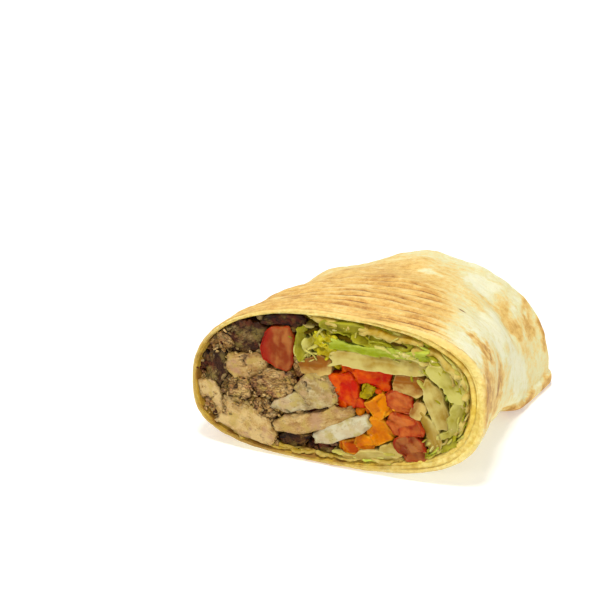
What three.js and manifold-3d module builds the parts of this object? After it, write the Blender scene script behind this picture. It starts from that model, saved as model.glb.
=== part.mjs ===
// Half of a gyro wrap, lying on its side as it is served: a flatbread rolled round grilled meat and salad and cut across.
// Millimetres, +Z up. The wrap's axis runs along Y: the knife cut faces -Y, the folded, closed end faces +Y.
// The origin is the middle of the footprint on the table.
import * as THREE from "three";
import Module from "manifold-3d";

const wasm = await Module();
wasm.setup();

// ---------- driving dimensions ----------
const LENGTH = 70; // cut face to closed end
const WIDTH = 84; // across the cut face
const HEIGHT = 47; // of the cut face
const GAP = 0.35; // clearance between neighbouring pieces
const WALL = { left: 2.2, top: 2.4, right: 5, bottom: 3 }; // flatbread: one layer at the left, three rolled over each other at the right
const CUT_Y = -LENGTH / 2;
const END_Y = LENGTH / 2;
const HALF = WIDTH / 2;

const AROUND = 48; // points round the wrap
const PLEATS = 8; // pressed pleats across the top, parallel to the cut
const PLEAT_PITCH = 4.5;
const PLEAT_HEIGHT = 0.75;
const PLEAT_START = 2.2; // from the cut face
const END_ROUNDING = 4; // of the closed end's rim
const LAYER_GROOVE = { width: 0.5, depth: 4 }; // the line between two rolled layers at the cut
const CORE_RECESS = 3; // how far the loose filling lies behind the cut

// Cross-sections along the wrap: four quarter superellipses that meet at the right, top, left and bottom extremes.
// at: share of the length from the cut. square: exponents of the quarters top-right, top-left, bottom-left, bottom-right.
const STATIONS = [
  { at: 0, left: -HALF, leftZ: 18, right: HALF, rightZ: 26, topX: 4, top: HEIGHT, bottomX: -4, square: [3.0, 2.35, 2.9, 2.75] },
  { at: 0.3, left: -HALF + 0.6, leftZ: 17, right: HALF - 1.8, rightZ: 21, topX: 5, top: HEIGHT - 3.2, bottomX: -3, square: [2.8, 1.95, 2.9, 2.95] },
  { at: 0.6, left: -HALF + 1.2, leftZ: 14, right: HALF - 2.8, rightZ: 11, topX: 6, top: HEIGHT - 6.8, bottomX: 0, square: [2.5, 1.75, 3, 3.2] },
  { at: 0.7, left: -HALF + 1.4, leftZ: 12, right: HALF - 2.6, rightZ: 2.4, topX: 6, top: HEIGHT - 7.9, bottomX: 0, square: [2.45, 1.7, 3, 5] },
  { at: 1, left: -HALF + 3, leftZ: 8, right: HALF + 1.4, rightZ: 1, topX: 6, top: HEIGHT - 11, bottomX: 0, square: [2.3, 1.65, 3, 5] },
];

// ---------- small helpers ----------
const clamp = (v, a, b) => Math.min(b, Math.max(a, v));
const smooth = (a, b, v) => {
  const t = clamp((v - a) / (b - a), 0, 1);
  return t * t * (3 - 2 * t);
};
const radians = (degrees) => (degrees * Math.PI) / 180;

function randomFrom(seed) {
  let state = (seed * 2654435761) >>> 0;
  return () => {
    state = (state + 0x6d2b79f5) >>> 0;
    let t = state;
    t = Math.imul(t ^ (t >>> 15), t | 1);
    t ^= t + Math.imul(t ^ (t >>> 7), t | 61);
    return ((t ^ (t >>> 14)) >>> 0) / 4294967296;
  };
}

// A smooth curve through the stations' values, flat at neither end.
function along(read, at) {
  const last = STATIONS.length - 1;
  let i = 0;
  while (i < last - 1 && at > STATIONS[i + 1].at) i++;
  const slope = (k) => {
    const a = Math.max(k - 1, 0);
    const b = Math.min(k + 1, last);
    return (read(STATIONS[b]) - read(STATIONS[a])) / (STATIONS[b].at - STATIONS[a].at);
  };
  const span = STATIONS[i + 1].at - STATIONS[i].at;
  const t = (at - STATIONS[i].at) / span;
  const [p, q] = [read(STATIONS[i]), read(STATIONS[i + 1])];
  if (t < 0) return p;
  const [m, n] = [slope(i) * span, slope(i + 1) * span];
  return (2 * t ** 3 - 3 * t ** 2 + 1) * p + (t ** 3 - 2 * t ** 2 + t) * m + (3 * t ** 2 - 2 * t ** 3) * q + (t ** 3 - t ** 2) * n;
}

function sectionAt(at) {
  const section = { square: STATIONS[0].square.map((_, q) => along((s) => s.square[q], at)), bottom: 0 };
  for (const key of ["left", "leftZ", "right", "rightZ", "topX", "top", "bottomX"]) section[key] = along((s) => s[key], at);
  return section;
}

// The section of the room inside the flatbread, drawn in by a further inset.
function roomAt(at, inset = 0) {
  const o = sectionAt(at);
  return {
    left: o.left + WALL.left + inset,
    leftZ: clamp(o.leftZ, 12, o.top - 12),
    right: o.right - WALL.right - inset,
    rightZ: clamp(o.rightZ, 12, o.top - 12),
    topX: o.topX - 4,
    top: o.top - WALL.top - inset,
    bottomX: o.bottomX,
    bottom: WALL.bottom + inset,
    square: [o.square[0] - 0.55, o.square[1], o.square[2] - 0.3, Math.min(o.square[3], 2.6)],
  };
}

// The section's outline as points evenly spaced along it, anticlockwise seen from the cut, from the bottom.
function outline(section, count) {
  const quarters = [
    [section.bottomX, section.right, section.rightZ, section.bottom, section.square[3], -90],
    [section.topX, section.right, section.rightZ, section.top, section.square[0], 0],
    [section.topX, section.left, section.leftZ, section.top, section.square[1], 90],
    [section.bottomX, section.left, section.leftZ, section.bottom, section.square[2], 180],
  ];
  const dense = [];
  for (const [midX, sideX, midZ, farZ, power, start] of quarters)
    for (let k = 0; k < 60; k++) {
      const angle = radians(start + (k * 90) / 60);
      const x = midX + (sideX - midX) * Math.abs(Math.cos(angle)) ** (2 / power);
      const z = midZ + (farZ - midZ) * Math.abs(Math.sin(angle)) ** (2 / power);
      dense.push([x, z]);
    }
  return evenly(dense, count);
}

function evenly(loop, count) {
  const reach = [0];
  for (let k = 0; k < loop.length; k++) {
    const [a, b] = [loop[k], loop[(k + 1) % loop.length]];
    reach.push(reach[k] + Math.hypot(b[0] - a[0], b[1] - a[1]));
  }
  const total = reach[loop.length];
  const points = [];
  let k = 0;
  for (let i = 0; i < count; i++) {
    const want = (i * total) / count;
    while (reach[k + 1] < want) k++;
    const t = (want - reach[k]) / (reach[k + 1] - reach[k]);
    const [a, b] = [loop[k], loop[(k + 1) % loop.length]];
    points.push([a[0] + (b[0] - a[0]) * t, a[1] + (b[1] - a[1]) * t]);
  }
  return points;
}

// Each point moved outwards, square to its neighbours' chord, by what relief gives for it.
function raised(points, relief) {
  return points.map(([x, z], i) => {
    const a = points[(i + points.length - 1) % points.length];
    const b = points[(i + 1) % points.length];
    const size = Math.hypot(b[0] - a[0], b[1] - a[1]) || 1;
    const [nx, nz] = [(b[1] - a[1]) / size, -(b[0] - a[0]) / size];
    const h = relief(x, z, nx, nz);
    return [x + nx * h, z + nz * h];
  });
}

// ---------- closed solids from rings ----------
function solid(vertices, triangles) {
  let volume = 0;
  for (const [a, b, c] of triangles) {
    const [p, q, r] = [vertices[a], vertices[b], vertices[c]];
    volume += p[0] * (q[1] * r[2] - q[2] * r[1]) + p[1] * (q[2] * r[0] - q[0] * r[2]) + p[2] * (q[0] * r[1] - q[1] * r[0]);
  }
  const faces = volume < 0 ? triangles.map(([a, b, c]) => [a, c, b]) : triangles;
  return new wasm.Manifold(
    new wasm.Mesh({ numProp: 3, vertProperties: new Float32Array(vertices.flat()), triVerts: new Uint32Array(faces.flat()) }),
  );
}

// Rings of equal count joined in turn. An end is closed across, from side to side, or by a fan round a given middle point.
function loft(rings, { firstMiddle = null, lastMiddle = null } = {}) {
  const count = rings[0].length;
  const vertices = rings.flat();
  const triangles = [];
  for (let r = 0; r + 1 < rings.length; r++)
    for (let i = 0; i < count; i++) {
      const j = (i + 1) % count;
      const [a, b, c, d] = [r * count + i, r * count + j, (r + 1) * count + j, (r + 1) * count + i];
      triangles.push([a, b, c], [a, c, d]);
    }
  const close = (base, middle, turned) => {
    const put = (a, b, c) => triangles.push(turned ? [a, c, b] : [a, b, c]);
    if (middle) {
      vertices.push(middle);
      for (let i = 0; i < count; i++) put(base + ((i + 1) % count), base + i, vertices.length - 1);
      return;
    }
    for (let i = 0; i < Math.floor(count / 2); i++) {
      const [a, b, c, d] = [i, i + 1, count - 2 - i, count - 1 - i].map((k) => base + k);
      if (b < c) put(b, a, c);
      if (a < d && c < d && a !== c) put(a, d, c);
    }
  };
  close(0, firstMiddle, false);
  close((rings.length - 1) * count, lastMiddle, true);
  return solid(vertices, triangles);
}

const largest = (body) => body.decompose().sort((a, b) => b.volume() - a.volume())[0];
const trimmed = (body, tolerance) => largest(largest(body).simplify(tolerance));

// ---------- flatbread ----------
// Relief of the outer skin: pressed pleats on the top near the cut, a fold that stands up along the top at the closed end.
function skinRelief(y, pleat) {
  return (x, z, nx, nz) => {
    const top = smooth(0.35, 0.85, nz) * smooth(34, 20, x);
    const fade = 1 - 0.5 * smooth(CUT_Y, CUT_Y + 40, y);
    const fold = 1.6 * Math.exp(-(((x - 6) / 5) ** 2)) * smooth(END_Y - 26, END_Y - 8, y) * smooth(0, 0.6, nz);
    const hollow = -1.8 * Math.exp(-(((x + 14) / 9) ** 2)) * smooth(END_Y - 24, END_Y - 6, y) * smooth(0, 0.6, nz);
    const uneven = 0.45 * Math.sin(x * 0.17 + y * 0.11) * Math.sin(y * 0.19 - z * 0.13 + 1) * smooth(1, 8, z) * smooth(CUT_Y, CUT_Y + 12, y);
    return pleat * PLEAT_HEIGHT * top * fade + fold + hollow + uneven;
  };
}

function skinRings() {
  const marks = [[CUT_Y, 0]];
  for (let p = 0; p < PLEATS; p++) {
    const y = CUT_Y + PLEAT_START + p * PLEAT_PITCH;
    marks.push([y, -0.35], [y + PLEAT_PITCH * 0.36, 0.65], [y + PLEAT_PITCH * 0.7, 0.55]);
  }
  const pleated = marks[marks.length - 1][0];
  const plainRings = 5;
  for (let p = 1; p <= plainRings; p++) marks.push([pleated + ((END_Y - END_ROUNDING - pleated) * p) / plainRings, 0]);
  const rings = marks.map(([y, pleat]) => {
    const points = raised(outline(sectionAt((y - CUT_Y) / LENGTH), AROUND), skinRelief(y, pleat));
    return points.map(([x, z]) => [x, y, Math.max(z, 0)]);
  });
  return [...rings, ...closedEnd(rings[rings.length - 1])];
}

// The blunt end: its rim is rounded above and stays pinched along the floor; the tucked-in sides leave two creases on the face.
function closedEnd(lastRing) {
  const middle = [4, 15];
  return [
    [0.35, 0.985],
    [0.75, 0.94],
    [1, 0.84],
    [1.08, 0.6],
    [0.98, 0.3],
  ].map(([out, scale]) =>
    lastRing.map(([x, , z]) => {
      const low = 1 - smooth(0, 6, z);
      const side = scale + (1 - scale) * low * (out <= 1 ? 1 : 0) * 0.85;
      const [px, pz] = [middle[0] + (x - middle[0]) * side, z <= 0.01 && out < 1 ? 0 : middle[1] + (z - middle[1]) * side];
      const crease = Math.min(Math.abs(pz - 15 - (px - 4) * 0.42), Math.abs(pz - 15 + (px - 4) * 0.42));
      const tuck = -1.3 * Math.exp(-((crease / 2.2) ** 2)) * smooth(0.95, 0.6, scale);
      return [px, END_Y - END_ROUNDING + END_ROUNDING * out + tuck - (pz / HEIGHT) * 2.5 * out, Math.max(pz, 0)];
    }),
  );
}

const ROOM_BACK = 0.9; // the room inside ends at this share of the length
function roomRings(inset, front) {
  const shares = [front, 0, 0.3, 0.6, 0.78, ROOM_BACK - 0.04, ROOM_BACK];
  return shares.filter((at, i) => !i || at > front).map((at) => {
    const drawnIn = 1 - 0.22 * smooth(0.7, ROOM_BACK, at) - 0.22 * smooth(ROOM_BACK - 0.04, ROOM_BACK, at);
    const y = CUT_Y + at * LENGTH - (at === ROOM_BACK ? inset : 0);
    const middleZ = 17;
    return outline(roomAt(Math.max(at, 0), inset), AROUND).map(([x, z]) => [x * drawnIn, y, middleZ + (z - middleZ) * drawnIn]);
  });
}
const ringMiddle = (ring) => [0, ring[0][1], 17];

function room(inset, front) {
  const rings = roomRings(inset, front);
  return loft(rings, { firstMiddle: ringMiddle(rings[0]), lastMiddle: ringMiddle(rings[rings.length - 1]) });
}

// A thin curved slab that parts two rolled layers at the cut. depthShare: 0 at the outer skin, 1 at the room. from, to: shares of the way round.
function layerGroove(depthShare, from, to, width) {
  const outer = outline(sectionAt(0), 120);
  const inner = outline(roomAt(0), 120);
  const steps = Math.ceil((to - from) * 50);
  const line = [];
  for (let k = 0; k <= steps; k++) {
    const place = (from + ((to - from) * k) / steps) * 120;
    const [i, j] = [Math.floor(place) % 120, Math.ceil(place) % 120];
    const between = (loop, axis) => loop[i][axis] + (loop[j][axis] - loop[i][axis]) * (place % 1);
    line.push([0, 1].map((axis) => between(outer, axis) + (between(inner, axis) - between(outer, axis)) * depthShare));
  }
  const side = (sign) =>
    line.map(([x, z], k) => {
      const [a, b] = [line[Math.max(k - 1, 0)], line[Math.min(k + 1, steps)]];
      const size = Math.hypot(b[0] - a[0], b[1] - a[1]);
      const half = (width / 2) * Math.min(1, 0.25 + Math.min(k, steps - k) / 4) * sign;
      return [x + ((b[1] - a[1]) / size) * half, z - ((b[0] - a[0]) / size) * half];
    });
  const loop = [...side(1), ...side(-1).reverse()];
  const ring = (y, shrink) =>
    loop.map(([x, z], k) => {
      const twin = loop[loop.length - 1 - k];
      return [x + (twin[0] - x) * shrink, y, z + (twin[1] - z) * shrink];
    });
  return loft([ring(CUT_Y - 1, 0), ring(CUT_Y + LAYER_GROOVE.depth, 0.3)]);
}

function flatbread() {
  const outer = skinRings();
  const inner = roomRings(0, 0);
  const rings = [...inner].reverse().concat(outer);
  const first = rings[0];
  const last = rings[rings.length - 1];
  const body = loft(rings, { firstMiddle: ringMiddle(first), lastMiddle: [4, last[0][1] - 0.4, 15] });
  const grooves = [
    layerGroove(0.3, 0.06, 0.6, LAYER_GROOVE.width),
    layerGroove(0.62, 0.14, 0.47, LAYER_GROOVE.width * 1.4),
    layerGroove(0.6, 0.86, 0.985, LAYER_GROOVE.width * 0.8),
  ];
  return largest(grooves.reduce((whole, groove) => whole.subtract(groove), body));
}

// ---------- pieces of the filling ----------
// A piece is drawn at the cut, round its own long axis, and runs back into the wrap.
const PROFILES = {
  // lumpy rounded outline
  chunk(w, h, piece, random) {
    const sides = 10;
    return Array.from({ length: sides }, (_, k) => {
      const angle = ((k + 0.5) / sides) * 2 * Math.PI;
      const r = 0.84 + random() * 0.26;
      return [(w / 2) * r * Math.sign(Math.cos(angle)) * Math.abs(Math.cos(angle)) ** 0.8, (h / 2) * r * Math.sign(Math.sin(angle)) * Math.abs(Math.sin(angle)) ** 0.8];
    });
  },
  // strip or leaf: an even band, bent to one side, with waves
  band(w, h, piece, random) {
    const steps = piece.wave ? 6 : 4;
    const line = (sign) =>
      Array.from({ length: steps + 1 }, (_, k) => {
        const t = k / steps;
        const taper = Math.min(1, 0.5 + 2.2 * Math.min(t, 1 - t)) * (0.92 + random() * 0.16);
        const middle = (piece.bend || 0) * 4 * t * (1 - t) + (piece.wave || 0) * Math.sin(t * 9 + piece.phase);
        return [(t - 0.5) * w, middle + (sign * h * taper) / 2];
      });
    return [...line(-1), ...line(1).reverse()];
  },
  // cut cube with eased corners
  block(w, h) {
    const e = Math.min(w, h) * 0.14;
    const [a, b] = [w / 2, h / 2];
    return [[-a + e, -b], [a - e, -b], [a, -b + e], [a, b - e], [a - e, b], [-a + e, b], [-a, b - e], [-a, -b + e]];
  },
  // wedge of a round slice: flat on one side, round on the other
  wedge(w, h) {
    const arc = Array.from({ length: 9 }, (_, k) => {
      const angle = radians(-90 + (k * 180) / 8);
      return [Math.sin(angle) * (w / 2), Math.cos(angle) * h * 0.78 - h * 0.4];
    });
    return [...arc, [w * 0.3, -h * 0.5], [-w * 0.3, -h * 0.5]];
  },
  // torn shred with arms
  shred(w, h, piece, random) {
    return Array.from({ length: 12 }, (_, k) => {
      const angle = ((k + 0.5) / 12) * 2 * Math.PI;
      const r = k % 3 === 1 ? 1.1 : 0.55 + random() * 0.15;
      return [(w / 2) * r * Math.cos(angle), (h / 2) * r * Math.sin(angle)];
    });
  },
};

// grow: how much larger the piece is drawn all round, to clear its neighbours.
function pieceSolid(piece, grow = 0) {
  const slices = [
    { depth: 0, scale: grow ? 1 : 0.86 },
    ...(grow ? [] : [{ depth: 0.9, scale: 1 }]),
    ...(piece.wave ? [{ depth: piece.deep * 0.5, scale: 1 }] : []),
    { depth: piece.deep + 2 * grow, scale: 0.84 },
  ];
  const [cos, sin] = [Math.cos(radians(piece.turn)), Math.sin(radians(piece.turn))];
  const front = CUT_Y + piece.back - grow;
  const rings = slices.map(({ depth, scale }) => {
    const random = randomFrom(piece.seed);
    const phase = piece.seed + Math.min(depth, piece.deep) * 0.12;
    return PROFILES[piece.form](piece.w + 2 * grow, piece.h + 2 * grow, { ...piece, phase }, random).map(([u, v]) => {
      const rough = depth || grow ? 0 : 0.5 * (random() - 0.5);
      const [x, z] = [u * (0.5 + 0.5 * scale), v * scale];
      return [piece.x + x * cos - z * sin, front + depth + rough, piece.z + x * sin + z * cos];
    });
  });
  return loft(rings);
}

const MEAT = 0xb79a7c;
const MEAT_PALE = 0xd8cdb6;
const MEAT_DARK = 0x5c4038;
const TOMATO = 0xb5402c;
const TOMATO_RED = 0xcf4a2c;
const PEPPER = 0xe2491c;
const CARROT = 0xe8761c;
const CABBAGE = 0xdfdb9c;
const LETTUCE = 0xa9bd4c;
const LETTUCE_DARK = 0x6f8a2e;
const ONION = 0xe6d6a8;
const YELLOW = 0xd9bd2f;

// form, long side w, short side h, turn from level in degrees, back: how far the piece starts behind the cut, deep: how far it runs in.
// Pieces that lie in front come first; the later ones are trimmed round them.
const bill = (prefix, color, common, list) => list.map((piece, k) => ({ name: `${prefix}_${String(k + 1).padStart(2, "0")}`, color, ...common, ...piece }));
const PIECES = [
  ...bill("tomato_wedge", TOMATO, { form: "wedge", deep: 12 }, [{ x: -17.6, z: 33.2, w: 13, h: 9.8, turn: 92, back: 1, seed: 3 }]),
  ...bill("meat", MEAT, { form: "chunk", deep: 12 }, [
    { x: -36.2, z: 14, w: 10.4, h: 5.2, turn: -70, back: 1.4, seed: 11 },
    { x: -25.4, z: 8.9, w: 19.6, h: 8.8, turn: -29, back: 0.2, seed: 12 },
    { x: -25.9, z: 25.6, w: 11.4, h: 7.4, turn: 12, back: 0.8, seed: 13 },
    { x: -28.7, z: 19, w: 8.4, h: 5.6, turn: 7, back: 1.2, seed: 14 },
    { x: -17.9, z: 21.4, w: 12.6, h: 8.6, turn: 4, back: 0.4, seed: 15 },
    { x: -4.8, z: 22.2, w: 11.4, h: 8, turn: 9, back: 0, seed: 16, color: MEAT_PALE },
    { x: -32.4, z: 31.8, w: 5.6, h: 3.4, turn: 30, back: 1.8, seed: 17 },
    { x: -20.4, z: 13.6, w: 5, h: 4, turn: -20, back: 1.4, seed: 18 },
  ]),
  ...bill("meat_strip", MEAT, { form: "band", deep: 16 }, [
    { x: -6.6, z: 13, w: 25.4, h: 3.8, turn: 23, bend: -1.2, back: 0, seed: 21 },
    { x: 1.4, z: 11.2, w: 19.6, h: 5, turn: 30, bend: -0.4, back: 0.6, seed: 22, color: MEAT_PALE },
    { x: -10.4, z: 17, w: 15.4, h: 3.6, turn: 13, bend: 0.8, back: 1, seed: 23, color: MEAT_PALE },
  ]),
  ...bill("meat_browned", MEAT_DARK, { form: "chunk", deep: 10 }, [
    { x: -25.6, z: 34.4, w: 12.4, h: 6.8, turn: 22, back: 1.8, seed: 31 },
    { x: -35, z: 23.6, w: 6.6, h: 9.4, turn: -8, back: 1.8, seed: 32 },
    { x: -11.8, z: 6, w: 8.6, h: 3, turn: 10, back: 2, seed: 33 },
    { x: -15, z: 41.6, w: 11, h: 3.2, turn: 8, back: 1.6, seed: 34 },
  ]),
  ...bill("red_pepper", PEPPER, { form: "block", deep: 9 }, [
    { x: 2.9, z: 23.4, w: 9.4, h: 6.2, turn: -72, back: 0, seed: 41 },
    { x: 8.8, z: 29.2, w: 13.6, h: 3.8, turn: -4, back: 0.4, seed: 42 },
  ]),
  ...bill("carrot", CARROT, { form: "block", deep: 7 }, [
    { x: 12.6, z: 20.4, w: 6, h: 5.4, turn: 38, back: 0, seed: 51 },
    { x: 12, z: 13.4, w: 6.4, h: 5.2, turn: -40, back: 0.2, seed: 52 },
    { x: 8.2, z: 9, w: 4.6, h: 4, turn: -18, back: 0.6, seed: 53 },
    { x: 4, z: 6.6, w: 5.4, h: 3.4, turn: 8, back: 0.8, seed: 54 },
  ]),
  ...bill("yellow_pepper", YELLOW, { form: "shred", deep: 8 }, [
    { x: -3.2, z: 36.3, w: 8.4, h: 5.6, turn: -8, back: 0.4, seed: 61 },
    { x: 9, z: 24.8, w: 5.6, h: 3.2, turn: 70, back: 0.2, seed: 62 },
  ]),
  ...bill("tomato", TOMATO_RED, { form: "chunk", deep: 9 }, [
    { x: 18, z: 22.6, w: 7, h: 5.2, turn: -24, back: 0.8, seed: 71 },
    { x: 19.6, z: 16.8, w: 9.8, h: 6, turn: 2, back: 0.2, seed: 72 },
    { x: 21.8, z: 9.8, w: 8.8, h: 6.4, turn: -9, back: 0.8, seed: 73, color: TOMATO },
  ]),
  ...bill("cabbage_strip", CABBAGE, { form: "band", deep: 16 }, [
    { x: 28, z: 23.6, w: 13.6, h: 3.8, turn: -66, bend: 0.6, back: 0, seed: 81 },
    { x: 26.8, z: 14.6, w: 12, h: 3.4, turn: -74, bend: 0.5, back: 0.6, seed: 82 },
    { x: 11.4, z: 33.3, w: 22.4, h: 3.8, turn: 2, bend: 0.5, back: 0.2, seed: 83 },
    { x: 10.8, z: 4.9, w: 14.8, h: 2, turn: 5, bend: 0.3, wave: 0.25, back: 0.6, seed: 84 },
    { x: 16.4, z: 7.6, w: 5.4, h: 2.6, turn: -5, bend: 0.5, back: 0.9, seed: 85 },
  ]),
  ...bill("onion", ONION, { form: "band", deep: 10 }, [
    { x: 20.4, z: 28.2, w: 8.6, h: 4.4, turn: -4, bend: 0.8, back: 0.8, seed: 91 },
    { x: 22.8, z: 21, w: 4, h: 4.4, turn: -20, back: 0.6, seed: 92 },
    { x: -6, z: 29.3, w: 7.4, h: 4.2, turn: 12, bend: 0.4, back: 1, seed: 93 },
  ]),
  ...bill("lettuce", LETTUCE, { form: "band", deep: 18, wave: 0.35 }, [
    { x: 11, z: 37.6, w: 26.4, h: 1.8, turn: 1, bend: -0.9, back: 0, seed: 101 },
    { x: 11.4, z: 40, w: 15, h: 1.4, turn: -3, bend: 0.4, back: 0.8, seed: 102, color: CABBAGE },
    { x: 2.4, z: 42.3, w: 11, h: 1.6, turn: 1, back: 0.6, seed: 103 },
    { x: 31, z: 31, w: 10.6, h: 3.4, turn: -44, bend: 0.6, back: 0.4, seed: 104, color: CABBAGE },
    { x: 32.4, z: 20, w: 11.6, h: 3, turn: -112, bend: 0.5, back: 0.4, seed: 105 },
    { x: 29.6, z: 11.4, w: 9.6, h: 3, turn: 40, bend: -0.8, back: 0.6, seed: 106 },
    { x: -10, z: 35.4, w: 8.6, h: 1.5, turn: -93, back: 0.6, seed: 107, color: LETTUCE_DARK },
    { x: -7.9, z: 34.4, w: 6.6, h: 1.2, turn: -86, back: 1, seed: 108 },
  ]),
];

// Small shreds of the salad that show between the larger pieces. They are part of the loose salad.
const SHREDS = [
  { x: 20, z: 39.4, w: 14, h: 1.5, turn: -14, bend: 0.6 },
  { x: 28.4, z: 35.6, w: 9, h: 1.5, turn: -33, bend: 0.5 },
  { x: 34.4, z: 28.6, w: 8, h: 1.3, turn: -62, bend: 0.4 },
  { x: 35.6, z: 20, w: 9, h: 1.3, turn: -94, bend: 0.5 },
  { x: 33.4, z: 13, w: 7, h: 1.4, turn: 58, bend: -0.4 },
  { x: 24.6, z: 5, w: 9, h: 1.3, turn: 16, bend: -0.4 },
  { x: 17, z: 25.8, w: 6, h: 1.2, turn: 12, bend: 0.2 },
].map((shred, k) => ({ ...shred, form: "band", deep: 7, back: 0.8 + 0.3 * (k % 3), seed: 120 + k }));

// ---------- loose filling behind the pieces ----------
// Everything to the right of this line, seen at the cut, is salad; to the left, meat.
const DIVIDE = [[-13, 60], [-12, 30], [-2, 27], [0, 18], [9, 15], [3, 4], [3, -10]];
const ROUGH_STEP = 7; // spacing of the bumps on the loose filling's front

function saladSide(shift) {
  const line = DIVIDE.map(([x, z]) => [x + shift, z]);
  const far = line.map(([, z]) => [70, z]);
  const loop = [...line, ...far.reverse()];
  return loft([loop.map(([x, z]) => [x, CUT_Y - 5, z]), loop.map(([x, z]) => [x, END_Y, z])]);
}

// A slab in front of the filling with a bumpy back, which shapes the filling's uneven front.
function frontCutter(seed) {
  const random = randomFrom(seed);
  const [columns, rows] = [Math.ceil(WIDTH / ROUGH_STEP), Math.ceil(HEIGHT / ROUGH_STEP)];
  const vertices = [];
  for (const back of [false, true])
    for (let r = 0; r <= rows; r++)
      for (let c = 0; c <= columns; c++) {
        const y = back ? CUT_Y + CORE_RECESS + (random() - 0.5) * 1.8 : CUT_Y - 8;
        vertices.push([-HALF - 1 + (c * (WIDTH + 2)) / columns, y, -1 + (r * (HEIGHT + 2)) / rows]);
      }
  const wide = columns + 1;
  const layer = wide * (rows + 1);
  const triangles = [];
  for (let r = 0; r < rows; r++)
    for (let c = 0; c < columns; c++) {
      const i = r * wide + c;
      triangles.push([i, i + 1, i + wide + 1], [i, i + wide + 1, i + wide]);
      triangles.push([layer + i, layer + i + wide + 1, layer + i + 1], [layer + i, layer + i + wide, layer + i + wide + 1]);
    }
  const rim = [];
  for (let c = 0; c < columns; c++) rim.push(c);
  for (let r = 0; r < rows; r++) rim.push(r * wide + columns);
  for (let c = columns; c > 0; c--) rim.push(rows * wide + c);
  for (let r = rows; r > 0; r--) rim.push(r * wide);
  rim.forEach((a, k) => {
    const b = rim[(k + 1) % rim.length];
    triangles.push([a, layer + b, b], [a, layer + a, layer + b]);
  });
  return solid(vertices, triangles);
}

// ---------- the part ----------
const group = new THREE.Group();
group.name = "gyro_wrap_half";

const bread = flatbread();
const { min, max } = bread.boundingBox();

function add(name, body, color, roughness = 0.8) {
  const { numProp, vertProperties, triVerts } = body.translate(-(min[0] + max[0]) / 2, -(min[1] + max[1]) / 2, -min[2]).getMesh();
  const positions = new Float32Array(triVerts.length * 3);
  triVerts.forEach((v, k) => positions.set(vertProperties.subarray(v * numProp, v * numProp + 3), k * 3));
  const geometry = new THREE.BufferGeometry().setAttribute("position", new THREE.BufferAttribute(positions, 3));
  geometry.computeVertexNormals();
  const mesh = new THREE.Mesh(geometry, new THREE.MeshStandardMaterial({ color, roughness }));
  mesh.name = name;
  group.add(mesh);
}

add("flatbread", bread, 0xe6cf96);

const clearRoom = room(2 * GAP, -0.08);
let taken = null;
for (const piece of PIECES) {
  let body = pieceSolid(piece).intersect(clearRoom);
  if (taken) body = body.subtract(taken);
  add(piece.name, trimmed(body, 0.005), piece.color, 0.6);
  const claim = pieceSolid(piece, GAP).hull();
  taken = taken ? taken.add(claim) : claim;
}

const heap = SHREDS.reduce((whole, shred) => whole.add(pieceSolid(shred)), clearRoom.subtract(frontCutter(5)));
const loose = heap.intersect(clearRoom).subtract(taken);
add("seasoned_filling", trimmed(loose.subtract(saladSide(0)), 0.06), MEAT_DARK);
add("shredded_salad", trimmed(loose.intersect(saladSide(GAP)), 0.06), CABBAGE);

export default group;
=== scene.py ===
"""Half of a gyro wrap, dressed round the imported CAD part. Shapes are worked out in millimetres and become
metres at the mesh. The wrap's axis runs along Y: the knife cut faces -Y, the folded end faces +Y."""

import math

import bmesh
import bpy
import numpy as np
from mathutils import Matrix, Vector, kdtree


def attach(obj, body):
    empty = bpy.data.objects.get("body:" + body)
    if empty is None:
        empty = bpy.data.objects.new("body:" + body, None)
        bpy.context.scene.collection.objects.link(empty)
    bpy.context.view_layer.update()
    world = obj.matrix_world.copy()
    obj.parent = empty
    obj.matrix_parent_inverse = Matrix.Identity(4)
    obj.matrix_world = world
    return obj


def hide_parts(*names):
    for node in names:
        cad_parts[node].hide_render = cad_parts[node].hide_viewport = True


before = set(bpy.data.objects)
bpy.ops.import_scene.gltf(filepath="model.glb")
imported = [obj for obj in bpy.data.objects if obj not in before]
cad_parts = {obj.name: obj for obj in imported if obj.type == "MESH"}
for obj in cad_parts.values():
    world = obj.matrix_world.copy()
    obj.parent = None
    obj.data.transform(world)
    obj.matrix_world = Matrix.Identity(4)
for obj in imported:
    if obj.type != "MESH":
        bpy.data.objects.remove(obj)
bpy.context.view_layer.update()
MM = 0.001

# ---------- the flatbread's driving dimensions, as in the part's source ----------
LENGTH, WIDTH, HEIGHT = 70.0, 84.0, 47.0
CUT, END, HALF = -LENGTH / 2, LENGTH / 2, WIDTH / 2
WALL = {"left": 2.2, "top": 2.4, "right": 5.0, "bottom": 3.0}
PLEATS, PLEAT_PITCH, PLEAT_START = 8, 4.5, 2.2
PLEATS_END = CUT + PLEATS * PLEAT_PITCH
END_ROUNDING = 4.0
FOLD_X, FOLD_Z = 4, 15  # where the envelope's creases meet
ROOM_BACK = 0.9
SHIFT_X = -0.27  # the part is centred on its footprint
STATION_AT = np.array([0, 0.3, 0.6, 0.7, 1])
STATIONS = {
    "left": [-HALF, -HALF + 0.6, -HALF + 1.2, -HALF + 1.4, -HALF + 3],
    "leftZ": [18, 17, 14, 12, 8],
    "right": [HALF, HALF - 1.8, HALF - 2.8, HALF - 2.6, HALF + 1.4],
    "rightZ": [26, 21, 11, 2.4, 1],
    "topX": [4, 5, 6, 6, 6],
    "top": [HEIGHT, HEIGHT - 3.2, HEIGHT - 6.8, HEIGHT - 7.9, HEIGHT - 11],
    "bottomX": [-4, -3, 0, 0, 0],
    "topRight": [3.0, 2.8, 2.5, 2.45, 2.3],
    "topLeft": [2.35, 1.95, 1.75, 1.7, 1.65],
    "bottomLeft": [2.9, 2.9, 3, 3, 3],
    "bottomRight": [2.75, 2.95, 3.2, 5, 5],
}
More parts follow.
